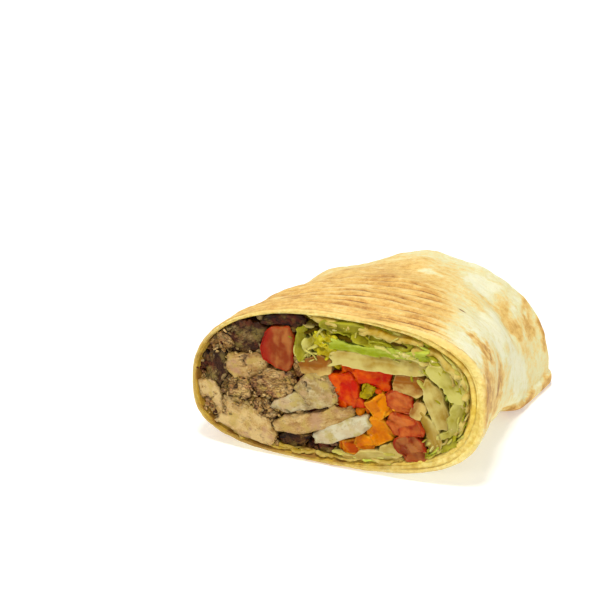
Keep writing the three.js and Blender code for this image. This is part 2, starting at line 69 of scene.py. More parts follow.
AROUND = 400  # points round the flatbread
WALL_STEP = 0.54  # about how far they are apart on the inside


# ---------- numbers ----------
def smooth(a, b, v):
    t = np.clip((np.asarray(v, float) - a) / (b - a), 0, 1)
    return t * t * (3 - 2 * t)


def bell(v, width):
    return np.exp(-((np.asarray(v, float) / width) ** 2))


def unit(v):
    """The rows of v at length 1."""
    return v / np.maximum(np.linalg.norm(v, axis=-1, keepdims=True), 1e-9)


def lattice(cells, seed):
    """A number from 0 to 1 for each whole-numbered cell."""
    a, b, c = np.moveaxis(cells.astype(np.int64).astype(np.uint32), -1, 0)
    h = a * np.uint32(0x8DA6B343) ^ b * np.uint32(0xD8163841) ^ c * np.uint32(0xCB1AB31F)
    h = h ^ np.uint32(seed * 0x9E3779B1 & 0xFFFFFFFF)
    h = (h ^ (h >> np.uint32(15))) * np.uint32(0x2C1B3C6D)
    h = (h ^ (h >> np.uint32(12))) * np.uint32(0x297A2D39)
    return (h ^ (h >> np.uint32(15))).astype(float) / 2**32


def noise(points, size, seed=0):
    """Smooth noise from -1 to 1 whose bumps are about size across: one number or three."""
    p = np.asarray(points, float) / np.asarray(size, float)
    base = np.floor(p)
    f = p - base
    f = f * f * (3 - 2 * f)
    total = 0
    for corner in np.ndindex(2, 2, 2):
        total = total + np.prod(np.where(corner, f, 1 - f), axis=-1) * lattice(base + corner, seed)
    return total * 2 - 1


def fbm(points, size, seed=0, octaves=4, gain=0.5):
    total, weight, scale = 0, 1.0, np.asarray(size, float)
    for k in range(octaves):
        total = total + weight * noise(points, scale, seed + 17 * k)
        weight, scale = weight * gain, scale / 2.03
    return total


def pebbles(points, size, seed=0):
    """Distance to the nearest and the next random site, in sizes, the way from the nearest one, and its own
    number."""
    p = np.asarray(points, float) / np.asarray(size, float)
    lowest = np.floor(p) - 1
    near = following = np.full(len(p), 9.0)
    tag, away = np.zeros(len(p)), np.zeros_like(p)
    for step in np.ndindex(3, 3, 3):
        cell = lowest + step
        site = cell + np.stack([lattice(cell, seed + s) for s in (1, 2, 3)], -1)
        d = np.linalg.norm(p - site, axis=-1)
        closer = d < near
        away = np.where(closer[:, None], p - site, away)
        following = np.where(closer, near, np.minimum(following, d))
        tag = np.where(closer, lattice(cell, seed + 4), tag)
        near = np.where(closer, d, near)
    return near, following, away, tag


# ---------- colours and node materials ----------
def rgb(*channels):
    """Display colour, 0 to 255, as the linear colour that a shader takes."""
    c = np.array(channels, float) / 255
    c = np.where(c <= 0.04045, c / 12.92, ((c + 0.055) / 1.055) ** 2.4)
    return (*[float(x) for x in c], 1.0)


def deep_rgb(*channels):
    """A colour of the filling, as seen in the photo, without the haze that its wet surface adds."""
    return (*[max(0.76 * c - 0.01, 0.35 * c) for c in rgb(*channels)[:3]], 1.0)


FINISHES = {}  # the scene's own materials by name; the CAD's have some of the same names


class Value:
    """A node's output. A sum, difference, product or remap of it adds a node."""

    def __init__(self, finish, socket):
        self.finish, self.socket = finish, socket

    def math(self, operation, other):
        return self.finish.node("ShaderNodeMath", {0: self, 1: other}, operation=operation)

    def __add__(self, other):
        return self.math("ADD", other)

    def __sub__(self, other):
        return self.math("SUBTRACT", other)

    def __mul__(self, other):
        return self.math("MULTIPLY", other)

    def remap(self, low, high, to_low=0.0, to_high=1.0):
        limits = {"From Min": low, "From Max": high, "To Min": to_low, "To Max": to_high}
        return self.finish.node("ShaderNodeMapRange", {"Value": self, **limits})


class Finish:
    """A node material: each method adds a node and gives back its output. Colours are display colours, which
    shade turns into the shader's, and sockets are the shader's inputs with _ for a space."""

    def __init__(self, name, shade=rgb, **sockets):
        self.shade = shade
        material = FINISHES[name] = bpy.data.materials.new(name)
        material.use_nodes = True
        self.tree = material.node_tree
        self.tree.nodes.clear()
        self.shader = self.tree.nodes.new("ShaderNodeBsdfPrincipled")
        end = self.tree.nodes.new("ShaderNodeOutputMaterial")
        self.tree.links.new(self.shader.outputs[0], end.inputs["Surface"])
        self.set(**sockets)

    def set(self, **sockets):
        for socket, value in sockets.items():
            self.put(self.shader.inputs[socket.replace("_", " ")], value)

    def put(self, socket, value):
        if isinstance(value, Value):
            self.tree.links.new(value.socket, socket)
        else:
            socket.default_value = value

    def node(self, kind, inputs, out=0, **settings):
        n = self.tree.nodes.new(kind)
        for key, value in settings.items():
            setattr(n, key, value)
        for key, value in inputs.items():
            self.put(n.inputs[key], value)
        return Value(self, n.outputs[out])

    def read(self, attribute, out="Fac"):
        return self.node("ShaderNodeAttribute", {}, out, attribute_name=attribute)

    def place(self, stretch=(1, 1, 1), attribute=None, shift=0.0):
        """The point on the object, or the point that an attribute holds, in millimetres over stretch."""
        where = self.read(attribute, "Vector") if attribute else self.node("ShaderNodeTexCoord", {}, "Object")
        scale = [(1 if attribute else 1 / MM) / s for s in stretch]
        return self.node("ShaderNodeMapping", {"Vector": where, "Scale": scale, "Location": [shift] * 3})

    def noise(self, size, detail=3.0, rough=0.55, at=None):
        inputs = {"Vector": at or self.place(), "Scale": 1 / size, "Detail": detail, "Roughness": rough}
        return self.node("ShaderNodeTexNoise", inputs)

    def cells(self, size, at=None, feature="F1"):
        inputs = {"Vector": at or self.place(), "Scale": 1 / size}
        return self.node("ShaderNodeTexVoronoi", inputs, "Distance", feature=feature)

    def warped(self, at, size, amount):
        push = self.node("ShaderNodeTexNoise", {"Vector": at, "Scale": 1 / size, "Detail": 2.0}, "Color")
        inputs = {0: push, 1: [amount] * 3, 2: at}
        return self.node("ShaderNodeVectorMath", inputs, operation="MULTIPLY_ADD")

    def ramp(self, fac, *stops):
        """stops: a position and a colour each."""
        n = self.tree.nodes.new("ShaderNodeValToRGB")
        self.put(n.inputs[0], fac)
        elements = n.color_ramp.elements
        while len(elements) < len(stops):
            elements.new(0.5)
        for element, (position, colour) in zip(elements, stops):
            element.position, element.color = position, self.shade(*colour)
        return Value(self, n.outputs[0])

    def mix(self, fac, *colours):
        a, b = (c if isinstance(c, Value) else self.shade(*c) for c in colours)
        return self.node("ShaderNodeMix", {0: fac, 6: a, 7: b}, 2, data_type="RGBA")

    def bump(self, height, distance, strength):
        """distance: in millimetres."""
        inputs = {"Height": height, "Distance": distance * MM, "Strength": strength}
        return self.node("ShaderNodeBump", inputs)


# ---------- meshes ----------
def mesh_object(name, points, faces, finish, attributes, replaces=()):
    mesh = bpy.data.meshes.new(name)
    faces = faces if isinstance(faces, list) else faces.tolist()
    mesh.from_pydata((np.asarray(points) * MM).tolist(), [], faces)
    mesh.update()
    mesh.polygons.foreach_set("use_smooth", [True] * len(mesh.polygons))
    for key, values in attributes.items():
        values = np.asarray(values, np.float32)
        kind, field = ("FLOAT", "value") if values.ndim == 1 else ("FLOAT_VECTOR", "vector")
        mesh.attributes.new(key, kind, "POINT").data.foreach_set(field, values.ravel())
    mesh.materials.append(FINISHES[finish])
    made = bpy.data.objects.new(name, mesh)
    bpy.context.scene.collection.objects.link(made)
    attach(made, "root")
    if replaces:
        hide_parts(*replaces)


def normals_of(points, faces):
    f = np.asarray(faces)
    sides = f.shape[1]
    a, b, c, d = (points[f[:, k % sides]] for k in range(4))
    n = np.cross(c - a, d - b) if sides == 4 else np.cross(b - a, c - a)
    total = [sum(np.bincount(f[:, k], n[:, i], len(points)) for k in range(sides)) for i in range(3)]
    return unit(np.stack(total, 1))


# ---------- the flatbread's form ----------
def along(values, at):
    """A smooth curve through the stations' values."""
    v, s = np.asarray(values, float), STATION_AT
    last = len(s) - 1
    at = np.maximum(np.asarray(at, float), 0)
    i = np.clip(np.searchsorted(s, at, side="left") - 1, 0, last - 1)
    lo, hi = np.maximum(np.arange(last + 1) - 1, 0), np.minimum(np.arange(last + 1) + 1, last)
    slope = (v[hi] - v[lo]) / (s[hi] - s[lo])
    span = s[i + 1] - s[i]
    t = (at - s[i]) / span
    m, n = slope[i] * span, slope[i + 1] * span
    start = (2 * t**3 - 3 * t**2 + 1) * v[i] + (t**3 - 2 * t**2 + t) * m
    return start + (3 * t**2 - 2 * t**3) * v[i + 1] + (t**3 - t**2) * n


def section_at(at):
    return {**{key: float(along(values, at)) for key, values in STATIONS.items()}, "bottom": 0.0}


def room_at(at):
    """The section of the room for the filling."""
    o = section_at(at)
    side_z = {key: min(max(o[key], 12), o["top"] - 12) for key in ("leftZ", "rightZ")}
    return {
        **o, **side_z, "left": o["left"] + WALL["left"], "right": o["right"] - WALL["right"],
        "topX": o["topX"] - 4, "top": o["top"] - WALL["top"], "bottom": WALL["bottom"],
        "topRight": o["topRight"] - 0.55, "bottomLeft": o["bottomLeft"] - 0.3,
        "bottomRight": min(o["bottomRight"], 2.6),
    }


def outline(s):
    """Evenly spaced points round a section, anticlockwise seen from the cut, from the bottom."""
    quarters = [
        (s["bottomX"], s["right"], s["rightZ"], s["bottom"], s["bottomRight"], -90),
        (s["topX"], s["right"], s["rightZ"], s["top"], s["topRight"], 0),
        (s["topX"], s["left"], s["leftZ"], s["top"], s["topLeft"], 90),
        (s["bottomX"], s["left"], s["leftZ"], s["bottom"], s["bottomLeft"], 180),
    ]
    dense = []
    for mid_x, side_x, mid_z, far_z, power, start in quarters:
        angle = np.radians(start + np.arange(240) * 90 / 240)
        x = mid_x + (side_x - mid_x) * np.abs(np.cos(angle)) ** (2 / power)
        z = mid_z + (far_z - mid_z) * np.abs(np.sin(angle)) ** (2 / power)
        dense.append(np.stack([x, z], 1))
    loop = np.concatenate([*dense, dense[0][:1]])
    reach = np.concatenate([[0], np.cumsum(np.linalg.norm(np.diff(loop, axis=0), axis=1))])
    want = np.arange(AROUND) * reach[-1] / AROUND
    return np.stack([np.interp(want, reach, loop[:, k]) for k in (0, 1)], 1)


def rim_share(turn):
    """Share of the wall's thickness by which its rim is thinner, as the wrap's weight presses it."""
    sides = 0.3 * np.maximum(smooth(0.66, 0.76, turn), smooth(0.14, 0.02, turn))
    below = 0.26 * np.maximum(smooth(0.8, 0.87, turn), smooth(0.1, 0.0, turn))
    return sides + below + 0.14 * bell(turn - 0.3, 0.14) + 0.22 * bell(turn - 0.65, 0.075)


def outward(loop):
    d = unit(np.roll(loop, -1, 0) - np.roll(loop, 1, 0))
    return np.stack([d[:, 1], -d[:, 0]], 1)


def softened(values, width):
    """Averaged round the loop over about width points."""
    reach = np.arange(-3 * width, 3 * width + 1)
    weight = np.exp(-((reach / width) ** 2))
    weight /= weight.sum()
    return sum(w * np.roll(values, r, 0) for r, w in zip(reach, weight))


def skin_rows():
    """Rows of the outer skin, without its fine relief, from the cut to the closed end's rounding."""
    pleated_to = CUT + 39  # the rows lie closer as far as here
    rows = []
    for y in [*np.linspace(CUT, pleated_to, 112), *np.linspace(pleated_to, END - END_ROUNDING, 50)[1:]]:
        loop = softened(outline(section_at((y - CUT) / LENGTH)), 3)
        n = outward(loop)
        x, z = loop.T
        up = smooth(0, 0.6, n[:, 1])
        fold = 1.6 * bell(x - 6, 5) * smooth(END - 26, END - 8, y) * up
        hollow = -1.8 * bell(x + 14, 9) * smooth(END - 24, END - 6, y) * up
        uneven = 0.45 * np.sin(x * 0.17 + y * 0.11) * np.sin(y * 0.19 - z * 0.13 + 1)
        uneven = uneven * smooth(1, 8, z) * smooth(CUT, CUT + 12, y)
        loop = loop + n * (fold + hollow + uneven)[:, None]
        rows.append(np.stack([loop[:, 0], np.full(AROUND, y), np.maximum(loop[:, 1], 0)], 1))
    return rows


def end_rows(last, count=38):
    """The blunt end: its rim is rounded above and stays pinched along the floor, and the tucked-in sides
    meet in an envelope's creases."""
    # how far out the end's surface is, and how wide, at seven points from its rim to its middle
    knots = np.array([(0, 1), (0.35, 0.985), (0.75, 0.94), (1, 0.84), (1.08, 0.6), (0.98, 0.3), (0.94, 0.02)])
    step = np.hypot(np.diff(knots[:, 0]) * END_ROUNDING, np.diff(knots[:, 1]) * 25)
    reach = np.concatenate([[0], np.cumsum(step)])
    fine = np.linspace(0, 1, 400)
    kernel = np.hanning(41) / np.hanning(41).sum()
    curves = []
    for k in (0, 1):
        curve = np.interp(fine * reach[-1], reach, knots[:, k])
        curves.append(np.convolve(np.pad(curve, 20, mode="reflect", reflect_type="odd"), kernel, "valid"))
    rows = []
    x, z = last[:, 0], last[:, 2]
    low = 1 - smooth(0, 6, z)
    for t in (np.arange(1, count + 1) / count) ** 1.15:
        out, scale = (float(np.interp(t, fine, curve)) for curve in curves)
        scale = max(scale, 0.015)
        pinched = 1 - smooth(0.93, 1.06, out + 0.25 * smooth(0.9, 0.5, scale))
        side = scale + (1 - scale) * low * pinched * 0.85
        px, pz = FOLD_X + (x - FOLD_X) * side, FOLD_Z + (z - FOLD_Z) * side
        pz = np.where(z < 0.02, pz * (1 - pinched), pz)
        upper = pz - FOLD_Z - np.abs(px - FOLD_X) * 0.42
        lower = FOLD_Z - pz - np.abs(px - FOLD_X) * 0.42
        shown = smooth(0.98, 0.8, scale)
        upper_flap = 1.1 * smooth(-0.5, 0.5, upper + 0.9 * noise(np.stack([px, pz, pz * 0], 1), 5, 3))
        flap = (upper_flap + 0.6 * smooth(-0.6, 0.6, lower)) * shown
        tuck = (-0.9 * bell(upper + 0.9, 1.3) - 0.6 * bell(lower + 1.0, 1.3)) * shown
        y = END - END_ROUNDING + END_ROUNDING * out + tuck + flap - 0.6 * shown - (pz / HEIGHT) * 2.5 * out
        rows.append(np.stack([px, y, np.maximum(pz, 0)], 1))
    return rows


def pleat_phase(p):
    """How many pleats lie between the cut and the point; whole numbers are the pressed valleys."""
    wander = 0.55 * noise(p, (26, 1e6, 1e6), 11) + 0.3 * noise(p, (9, 6, 40), 12)
    return (p[:, 1] - CUT - PLEAT_START + wander) / PLEAT_PITCH


def pleat_reach(p, n):
    """Where the pressed pleats show: on the top, from the cut to where they run out towards the right."""
    on_top = smooth(0.3, 0.75, n[:, 2]) * smooth(35, 26, p[:, 0] + 0.35 * (p[:, 1] - CUT))
    return on_top * smooth(PLEATS_END + 6, PLEATS_END - 3, p[:, 1])


def skin_relief(p, n):
    x, y, z = p.T
    strength = 0.75 + 0.35 * noise(p, (16, 5, 30), 13)
    pleats = (np.abs(np.sin(np.pi * pleat_phase(p))) ** 0.75 - 0.62) * 0.95 * strength * pleat_reach(p, n)
    pleats = pleats * smooth(CUT + 0.4, CUT + 2.6, y)
    broad = 0.42 * fbm(p, 13, 21, 3) * smooth(CUT, CUT + 8, y)
    blisters = 0.10 * fbm(p, 2.4, 22, 3)
    wrinkles = 0.22 * (1 - np.abs(noise(p, (9, 16, 6), 23))) ** 6 * smooth(CUT + 20, CUT + 40, y)
    # the pinched edge along the floor at the far right is the bread's browned end, a layer that stands out
    lip = 0.9 * smooth(4.2, 3.4, z + 0.35 * noise(p, (4, 4, 40), 24))
    lip = lip * smooth(CUT + 38, CUT + 46, y) * smooth(20, 30, x)
    return (pleats + broad + blisters - wrinkles) * smooth(0.3, 5, z) + lip


def grid_normals(grid):
    return -unit(np.cross(np.roll(grid, -1, 1) - np.roll(grid, 1, 1), np.gradient(grid, axis=0)))


RIM_ROWS = [  # layer, place across the layer, how far the edge is rounded back
    (layer, place, back)
    for layer in (0, 1, 2)
    for place, back in ((0.0, 1.0), (0.1, 0.32), (0.3, 0.05), (0.6, 0.0), (0.88, 0.3), (1.0, 1.0))
]
# the skin's first rows: how ragged, how far rounded in
ROUNDED_ROWS = ((1, 0.28), (0.8, 0.09), (0.5, 0.02), (0.2, 0))
# how deep in each row of the inside is
ROOM_ROWS = (1.6, 2.4, 3.3, 4.4, 6, 8.5, 12, 18, 26, 36, 46, 54, 58.5, 63)


def flatbread():
    """Rows of points from deep inside, over the cut rim, to the middle of the closed end, and four numbers
    for each row: skin, rim or inside (0, 1 or 2), the layer, how far it is rounded back, and its share of the
    inside's colour."""
    rows = skin_rows()
    outside = np.array(rows + end_rows(rows[-1]))
    n = grid_normals(outside)
    share_left = np.ones(len(outside))
    share_left[len(rows) + 24 :] = np.linspace(1, 0, len(outside) - len(rows) - 24)
    relief = skin_relief(outside.reshape(-1, 3), n.reshape(-1, 3)).reshape(n.shape[:2]) * share_left[:, None]
    outside = outside + n * relief[..., None]
    ragged = 0.22 * noise(outside[0], 3, 31) + 0.12 * noise(outside[0], 0.9, 32)
    for k, (weight, rounded) in enumerate(ROUNDED_ROWS):
        outside[k, :, 1] += ragged * weight
        outside[k] -= n[8] * (1, 0, 1) * rounded
    outside[..., 2] = np.maximum(outside[..., 2], 0)

    # the cut rim: layers between the skin and the room, parted by grooves that open towards the right
    turn, whole = np.arange(AROUND) / AROUND, np.ones(AROUND)
    outer = outside[0]
    room = softened(outline(room_at(0)), 3)
    inner = np.stack([room[:, 0], CUT * whole, room[:, 1]], 1)
    share = rim_share(turn) + 0.07 * noise(inner, 5, 30)
    inner = inner + (outer * (1, 0, 1) + (0, CUT, 0) - inner) * share[:, None]
    open_1 = np.clip(smooth(0.05, 0.12, turn) * smooth(0.34, 0.22, turn), 0.05, 1)
    open_1 = open_1 * (0.8 + 0.5 * noise(outer, 7, 29))
    open_2 = smooth(0.24, 0.32, turn) * smooth(0.5, 0.42, turn)
    first = 0.3 + 0.16 * (1 - open_1)
    second = softened(np.where(open_2 > 0.02, 0.63, 0.72), 6) + 0.02 * noise(outer, 9, 33)
    thickness = np.linalg.norm(inner - outer, axis=1)
    gap_1 = (0.02 + 0.09 * open_1) * (1 + 0.7 * noise(outer, 4, 28)) / thickness
    gap_2 = 0.02 + 0.5 * open_2 * (0.3 + 0.7 * smooth(0.28, 0.4, turn))
    gap_2 = gap_2 * (1 + 0.7 * noise(outer, 5, 27)) / thickness
    edges = [
        (0 * whole, first - gap_1 / 2), (first + gap_1 / 2, second - gap_2 / 2), (second + gap_2 / 2, whole),
    ]
    parted = [
        whole, smooth(-0.2, 0.4, noise(outer, 8, 47)),
        np.maximum(smooth(-0.1, 0.4, noise(outer, 8, 48)), open_2), whole,
    ]
    deep_1, deep_2 = 0.04 + (0.06 + 0.6 * open_1) * parted[1], 0.04 + (0.04 + 2.2 * open_2) * parted[2]
    depth = [(0.45 * whole, deep_1), (deep_1, deep_2), (deep_2, 0.9 * whole)]
    stand = [
        -0.1 * whole,
        0.1 * open_1 + 0.3 * noise(outer, 8, 34) * (0.25 + 0.75 * open_1),
        0.1 + 0.4 * open_2 + 0.5 * noise(outer, 7, 35) * (0.3 + 0.7 * open_1),
    ]
    wave = [0 * whole, 0.28 * open_1 * noise(outer, 6, 36), 0.35 * open_2 * noise(outer, 5, 37)]
    rim = []
    for layer, place, back in RIM_ROWS:
        a, b = edges[layer]
        f = a + (b - a) * place
        second_half = int(place > 0.5)
        p = outer + (inner - outer) * (f + wave[layer] / thickness * np.sin(np.pi * f))[:, None]
        crumb = 0.09 * noise(p, 0.9, 38 + layer) + 0.12 * noise(p, 2.2, 41 + layer)
        rounded = back * 0.5 * (0.15 + 0.85 * parted[layer + second_half])
        p[:, 1] = CUT + stand[layer] + (rounded if back < 1 else depth[layer][second_half]) + crumb
        if not layer and not place:  # the first row meets the skin
            p = outer + (0, 0.06, 0)
        rim.append(p)

    inside = []
    for deep in ROOM_ROWS:
        at = deep / LENGTH
        drawn = 1 - 0.22 * smooth(0.7, ROOM_BACK, at) - 0.22 * smooth(ROOM_BACK - 0.04, ROOM_BACK, at)
        loop = softened(outline(room_at(at)), 3) * drawn
        inside.append(np.stack([loop[:, 0], (CUT + deep) * whole, loop[:, 1] + 17 * (1 - drawn)], 1))
    inside = np.array(inside)
    waviness = 0.25 * noise(inside.reshape(-1, 3), 4, 44).reshape(inside.shape[:2])
    inside = inside + grid_normals(inside) * waviness[..., None]

    layer, place, back = np.array(RIM_ROWS)[::-1].T
    # the skin's colour reaches a little way over the edge of the cut
    cut_share = smooth(-0.45, 0.7, layer + place)
    marks = [
        np.concatenate([np.full(len(inside), of_inside), of_rim, np.zeros(len(outside))])
        for of_inside, of_rim in ((2, 0 * layer + 1), (2, layer), (1, back), (1, cut_share))
    ]
    return np.concatenate([inside[::-1], np.array(rim)[::-1], outside]), marks


# Toasted and floury places on the skin: middle, reach across and along the wrap, strength (below 0: floury).
PATCHES = [
    ((30.4, 17.1, 30.5), (5, 7, 4), 0.27), ((32.6, 15.5, 28.0), (4, 5, 5), 0.3),
    ((35.2, 17.0, 24.3), (4, 4, 5), 0.34), ((36.5, 24.5, 22.3), (4, 3.4, 5), 0.36),
    ((34.9, 30.9, 25.2), (4, 3, 6), 0.36), ((39.2, 30.4, 17.6), (4, 2.8, 6), 0.44),
    ((36.4, -23.4, 38.4), (5, 4.6, 5.6), 0.62), ((38.2, -26.9, 35), (3, 3.4, 6), 0.36),
    ((39.4, -13.2, 24.2), (4, 4, 7), 0.5), ((41.0, -30.6, 28.4), (4, 6, 9), 0.42),
    ((40, -21, 18), (5, 7, 8), 0.3), ((38.3, 16.8, 16.4), (4, 3, 5), 0.16),
    ((41.9, 30.7, 1.5), (4, 8, 3.4), 0.42), ((39.3, 15.4, 2.5), (4, 9, 2.4), 0.46),
    ((37.1, 9.6, 2.0), (4, 6, 2.6), 0.42), ((26.8, 3.7, 36.9), (7, 2.6, 4), 0.16),
    ((27.7, 13.4, 32.9), (7, 2.4, 4), 0.22), ((34.5, -2.1, 32.6), (4, 6, 5), -0.3),
    ((37.5, -9.0, 31.0), (4, 3.6, 7), -0.3), ((38.5, 1.9, 20.5), (4, 6, 7), -0.32),
    ((39.0, 9.7, 11.6), (4, 6, 8), -0.3), ((24.4, 20.0, 34.4), (8, 6, 5), -0.3),
    ((11.2, 12.0, 39.4), (3.4, 1.6, 4), -0.3), ((8.0, 27.0, 37), (9, 6, 5), -0.16),
]
SPECKS = [
    ((27.0, -10.2, 40.5), (1.0, 0.7, 2)), ((32.5, -33.9, 38.9), (0.5, 0.45, 1)),
    ((38, -6.3, 27.0), (0.4, 0.5, 0.7)),
]


def from_spot(p, middle, size):
    """Distance from a spot on the skin, in its sizes."""
    return np.linalg.norm((p - (np.array(middle) + (SHIFT_X, 0, 0))) / size, axis=1)


def skin_tone(p, n):
    """0: raw, floury dough. 0.5: golden. 1: scorched. The second result is 1 at the black specks."""
    x, y, z = p.T
    up = n[:, 2]
    top = smooth(0.15, 0.75, up) * smooth(38, 24, x)
    pale_top = 0.25 * smooth(16, 26, x + 0.25 * y) * smooth(0.4, 0.8, up)
    tone = 0.22 + 0.17 * top * smooth(END + 2, END - 30, y) + 0.08 * top - pale_top
    phase = pleat_phase(p)
    streaks = fbm(p, (11, 0.9, 20), 51, 3) * smooth(-1, 1, noise(p, 9, 54))
    band = smooth(0.2, 0.95, 0.5 + 0.5 * np.cos(2 * np.pi * (phase - 0.12)))
    band = band * (0.75 + 0.5 * noise(p, (10, 4, 30), 52))
    line = bell(np.abs(phase - np.round(phase)) * PLEAT_PITCH, 0.24)
    line = line * smooth(-0.5, 0.3, noise(p, (9, 4, 30), 53))
    tone += pleat_reach(p, n) * (0.15 * band + 0.42 * line - 0.03 + 0.08 * streaks)
    warped = p + 1.6 * np.stack([fbm(p, 5, 60 + k, 3) for k in range(3)], 1)
    ragged = 0.42 * fbm(p, 2.6, 65, 4, 0.65)
    toasted, floury = np.zeros((2, len(p)))
    for middle, size, strength in PATCHES:
        here = abs(strength) * smooth(1.4, 0.35, from_spot(warped, middle, size) + ragged)
        patches = toasted if strength > 0 else floury
        np.maximum(patches, here, out=patches)
    tone += toasted - floury
    # the sides that the cut hides carry the same toasting, scattered
    hidden = 1 - smooth(24, 34, x) * smooth(0.95, 0.6, up) * smooth(END + 1, END - 3, y)
    hidden = hidden * (1 - 0.8 * smooth(0.3, 0.7, up))
    scattered = fbm(p, (11, 9, 8), 71, 4)
    tone += hidden * (0.42 * smooth(0.12, 0.62, scattered) - 0.12 * smooth(0.1, 0.7, -scattered))
    # darker along the floor, in patches, and at the edge of the cut, more towards the left
    tone += 0.2 * smooth(2.2, 0.4, z) * smooth(-0.3, 0.6, fbm(p, 7, 75, 3))
    tone += smooth(CUT + 2.2, CUT, y) * (0.03 + 0.16 * smooth(20, -24, x))
    tone += 0.07 * fbm(p, (4, 2.4, 3), 81, 4, 0.65)
    specks = [
        smooth(1.1, 0.7, from_spot(p, middle, size) + 0.5 * noise(p, 0.8, 84)) for middle, size in SPECKS
    ]
    return np.clip(tone, 0, 1.2), np.max(specks, axis=0)


def bread_finish(name):
    m = Finish(name, Subsurface_Weight=0.12, Subsurface_Radius=(1.0, 0.55, 0.25), Subsurface_Scale=0.0016)
    m.set(Specular_IOR_Level=0.3)
    tone, inside = m.read("tone"), m.read("inside")
    mottle, fine = m.noise(1.6, 4, 0.6), m.noise(0.45, 3, 0.65)
    streak = m.noise(1.0, 3, 0.6, at=m.place((7, 0.8, 7)))
    value = tone + mottle.remap(0.3, 0.7, -0.1, 0.1) + fine.remap(0.35, 0.65, -0.05, 0.05)
    skin = m.ramp(
        value + streak.remap(0.3, 0.7, -0.06, 0.06),
        (0.0, (238, 234, 198)), (0.16, (232, 223, 168)), (0.32, (236, 210, 138)), (0.46, (230, 189, 105)),
        (0.62, (206, 156, 76)), (0.8, (164, 110, 46)), (0.95, (108, 62, 22)),
    )
    # the finest toasting: small brown freckles where a bubble touched the grill
    freckle = m.cells(1.15).remap(0.26, 0.1) * m.noise(3.4, 2).remap(0.56, 0.66)
    skin = m.mix(freckle * 0.32, skin, (176, 116, 56))
    skin = m.mix(m.read("speck"), skin, (118, 58, 14))
    crumb = m.noise(1.3, 4, 0.6) + fine.remap(0.3, 0.7, -0.06, 0.06)
    crumb = m.ramp(crumb, (0.28, (208, 176, 90)), (0.5, (230, 208, 122)), (0.72, (242, 228, 158)))
    soaked = m.noise(2.6, 4, 0.6)
    soaked = m.ramp(soaked, (0.3, (182, 142, 26)), (0.52, (210, 174, 50)), (0.72, (230, 206, 92)))
    crumb = m.mix(m.read("stain"), crumb, soaked)
    # painted light: lit turns the top of the rim a lighter gold
    crumb = m.mix(m.read("lit"), crumb, (252, 208, 122))
    # painted shade: deep darkens the crumb in the grooves, the inside and along the lower edge
    crumb = m.mix(m.read("deep"), crumb, (128, 78, 18))
    height = fine * 0.5 + (mottle * 0.8 + streak * 0.35) + m.cells(0.8) * 0.5 * inside
    height = height * inside.remap(0, 1, 1, 0.55)
    rough = (tone + fine * 0.3).remap(0.2, 1.1, 0.78, 0.52)
    m.set(Base_Color=m.mix(inside, skin, crumb), Roughness=rough, Normal=m.bump(height, 0.36, 0.85))


rows, marks = flatbread()
middles = [rows[0].mean(0), rows[-1].mean(0) + (0, 0.02, 0)]
points = np.concatenate([rows.reshape(-1, 3), middles]) + (SHIFT_X, 0, 0)
inner_end, outer_end = len(points) - 2, len(points) - 1
ring, first = np.arange(AROUND), np.arange(len(rows) - 1)[:, None] * AROUND
after, second = (ring + 1) % AROUND, first + AROUND
quads = np.stack([second + ring, second + after, first + after, first + ring], -1).reshape(-1, 4)
last = (len(rows) - 1) * AROUND
caps = [[inner_end, k, (k + 1) % AROUND] for k in range(AROUND)]
caps += [[outer_end, last + (k + 1) % AROUND, last + k] for k in range(AROUND)]

# what the finish needs to know at each point
kinds, layers, backs, cuts = (np.append(np.repeat(mark, AROUND), (0, 0)) for mark in marks)
tone, speck = skin_tone(points, normals_of(points, quads))
x, y, z = points.T
right, high, cut_side = smooth(-4, 24, x), smooth(38, 44, z), kinds > 0.5
inside = np.where(cut_side, cuts, smooth(CUT + 0.5, CUT - 0.1, y) * 0.35)
# stain: juice soaking the crumb, more in the inner layers and low on the left; it is kept lighter along the
# top, as painted light
stain = (0.12 + 0.28 * layers) * (1 - 0.7 * high) + 0.2 * fbm(points, 5, 91, 2)
stain = stain + 0.4 * (1 - right) * smooth(36, 28, z)
stain = np.where(kinds > 1.5, 0.85, np.clip(stain, 0, 1) * cut_side)
# lit: painted light on the top of the rim, most on its outer layer
lit = (0.6 + 0.5 * fbm(points, 3, 95, 3)) * high * smooth(1.5, 0.5, layers) * (kinds < 1.5)
left_patches = (1 - right) * smooth(42, 30, z) * smooth(-0.3, 0.25, fbm(points, 2.6, 93, 4))
left_patches = left_patches * np.where(kinds > 1.5, 1, (layers + 0.6 * backs) / 2.2)
# deep: darker brown in the rim's grooves and the inside (painted shade), in patches on the left, along the
# lower edge (painted shade and soaking) and at the top left
deep = cut_side * np.maximum.reduce([
    smooth(CUT + 0.5, CUT + 2.6, y) * (0.9 - 0.7 * right), 0.85 * np.clip(left_patches, 0, 1),
    (0.26 + 0.5 * smooth(-8, -24, x)) * smooth(9, 1, z), 0.45 * smooth(-26, -38, x) * smooth(40, 32, z),
])
bread_finish("toasted_flatbread")
attributes = {"tone": tone, "speck": speck, "inside": inside, "stain": stain, "deep": deep, "lit": lit}
faces = quads.tolist() + caps
mesh_object("bread_skin", points, faces, "toasted_flatbread", attributes, ["flatbread"])


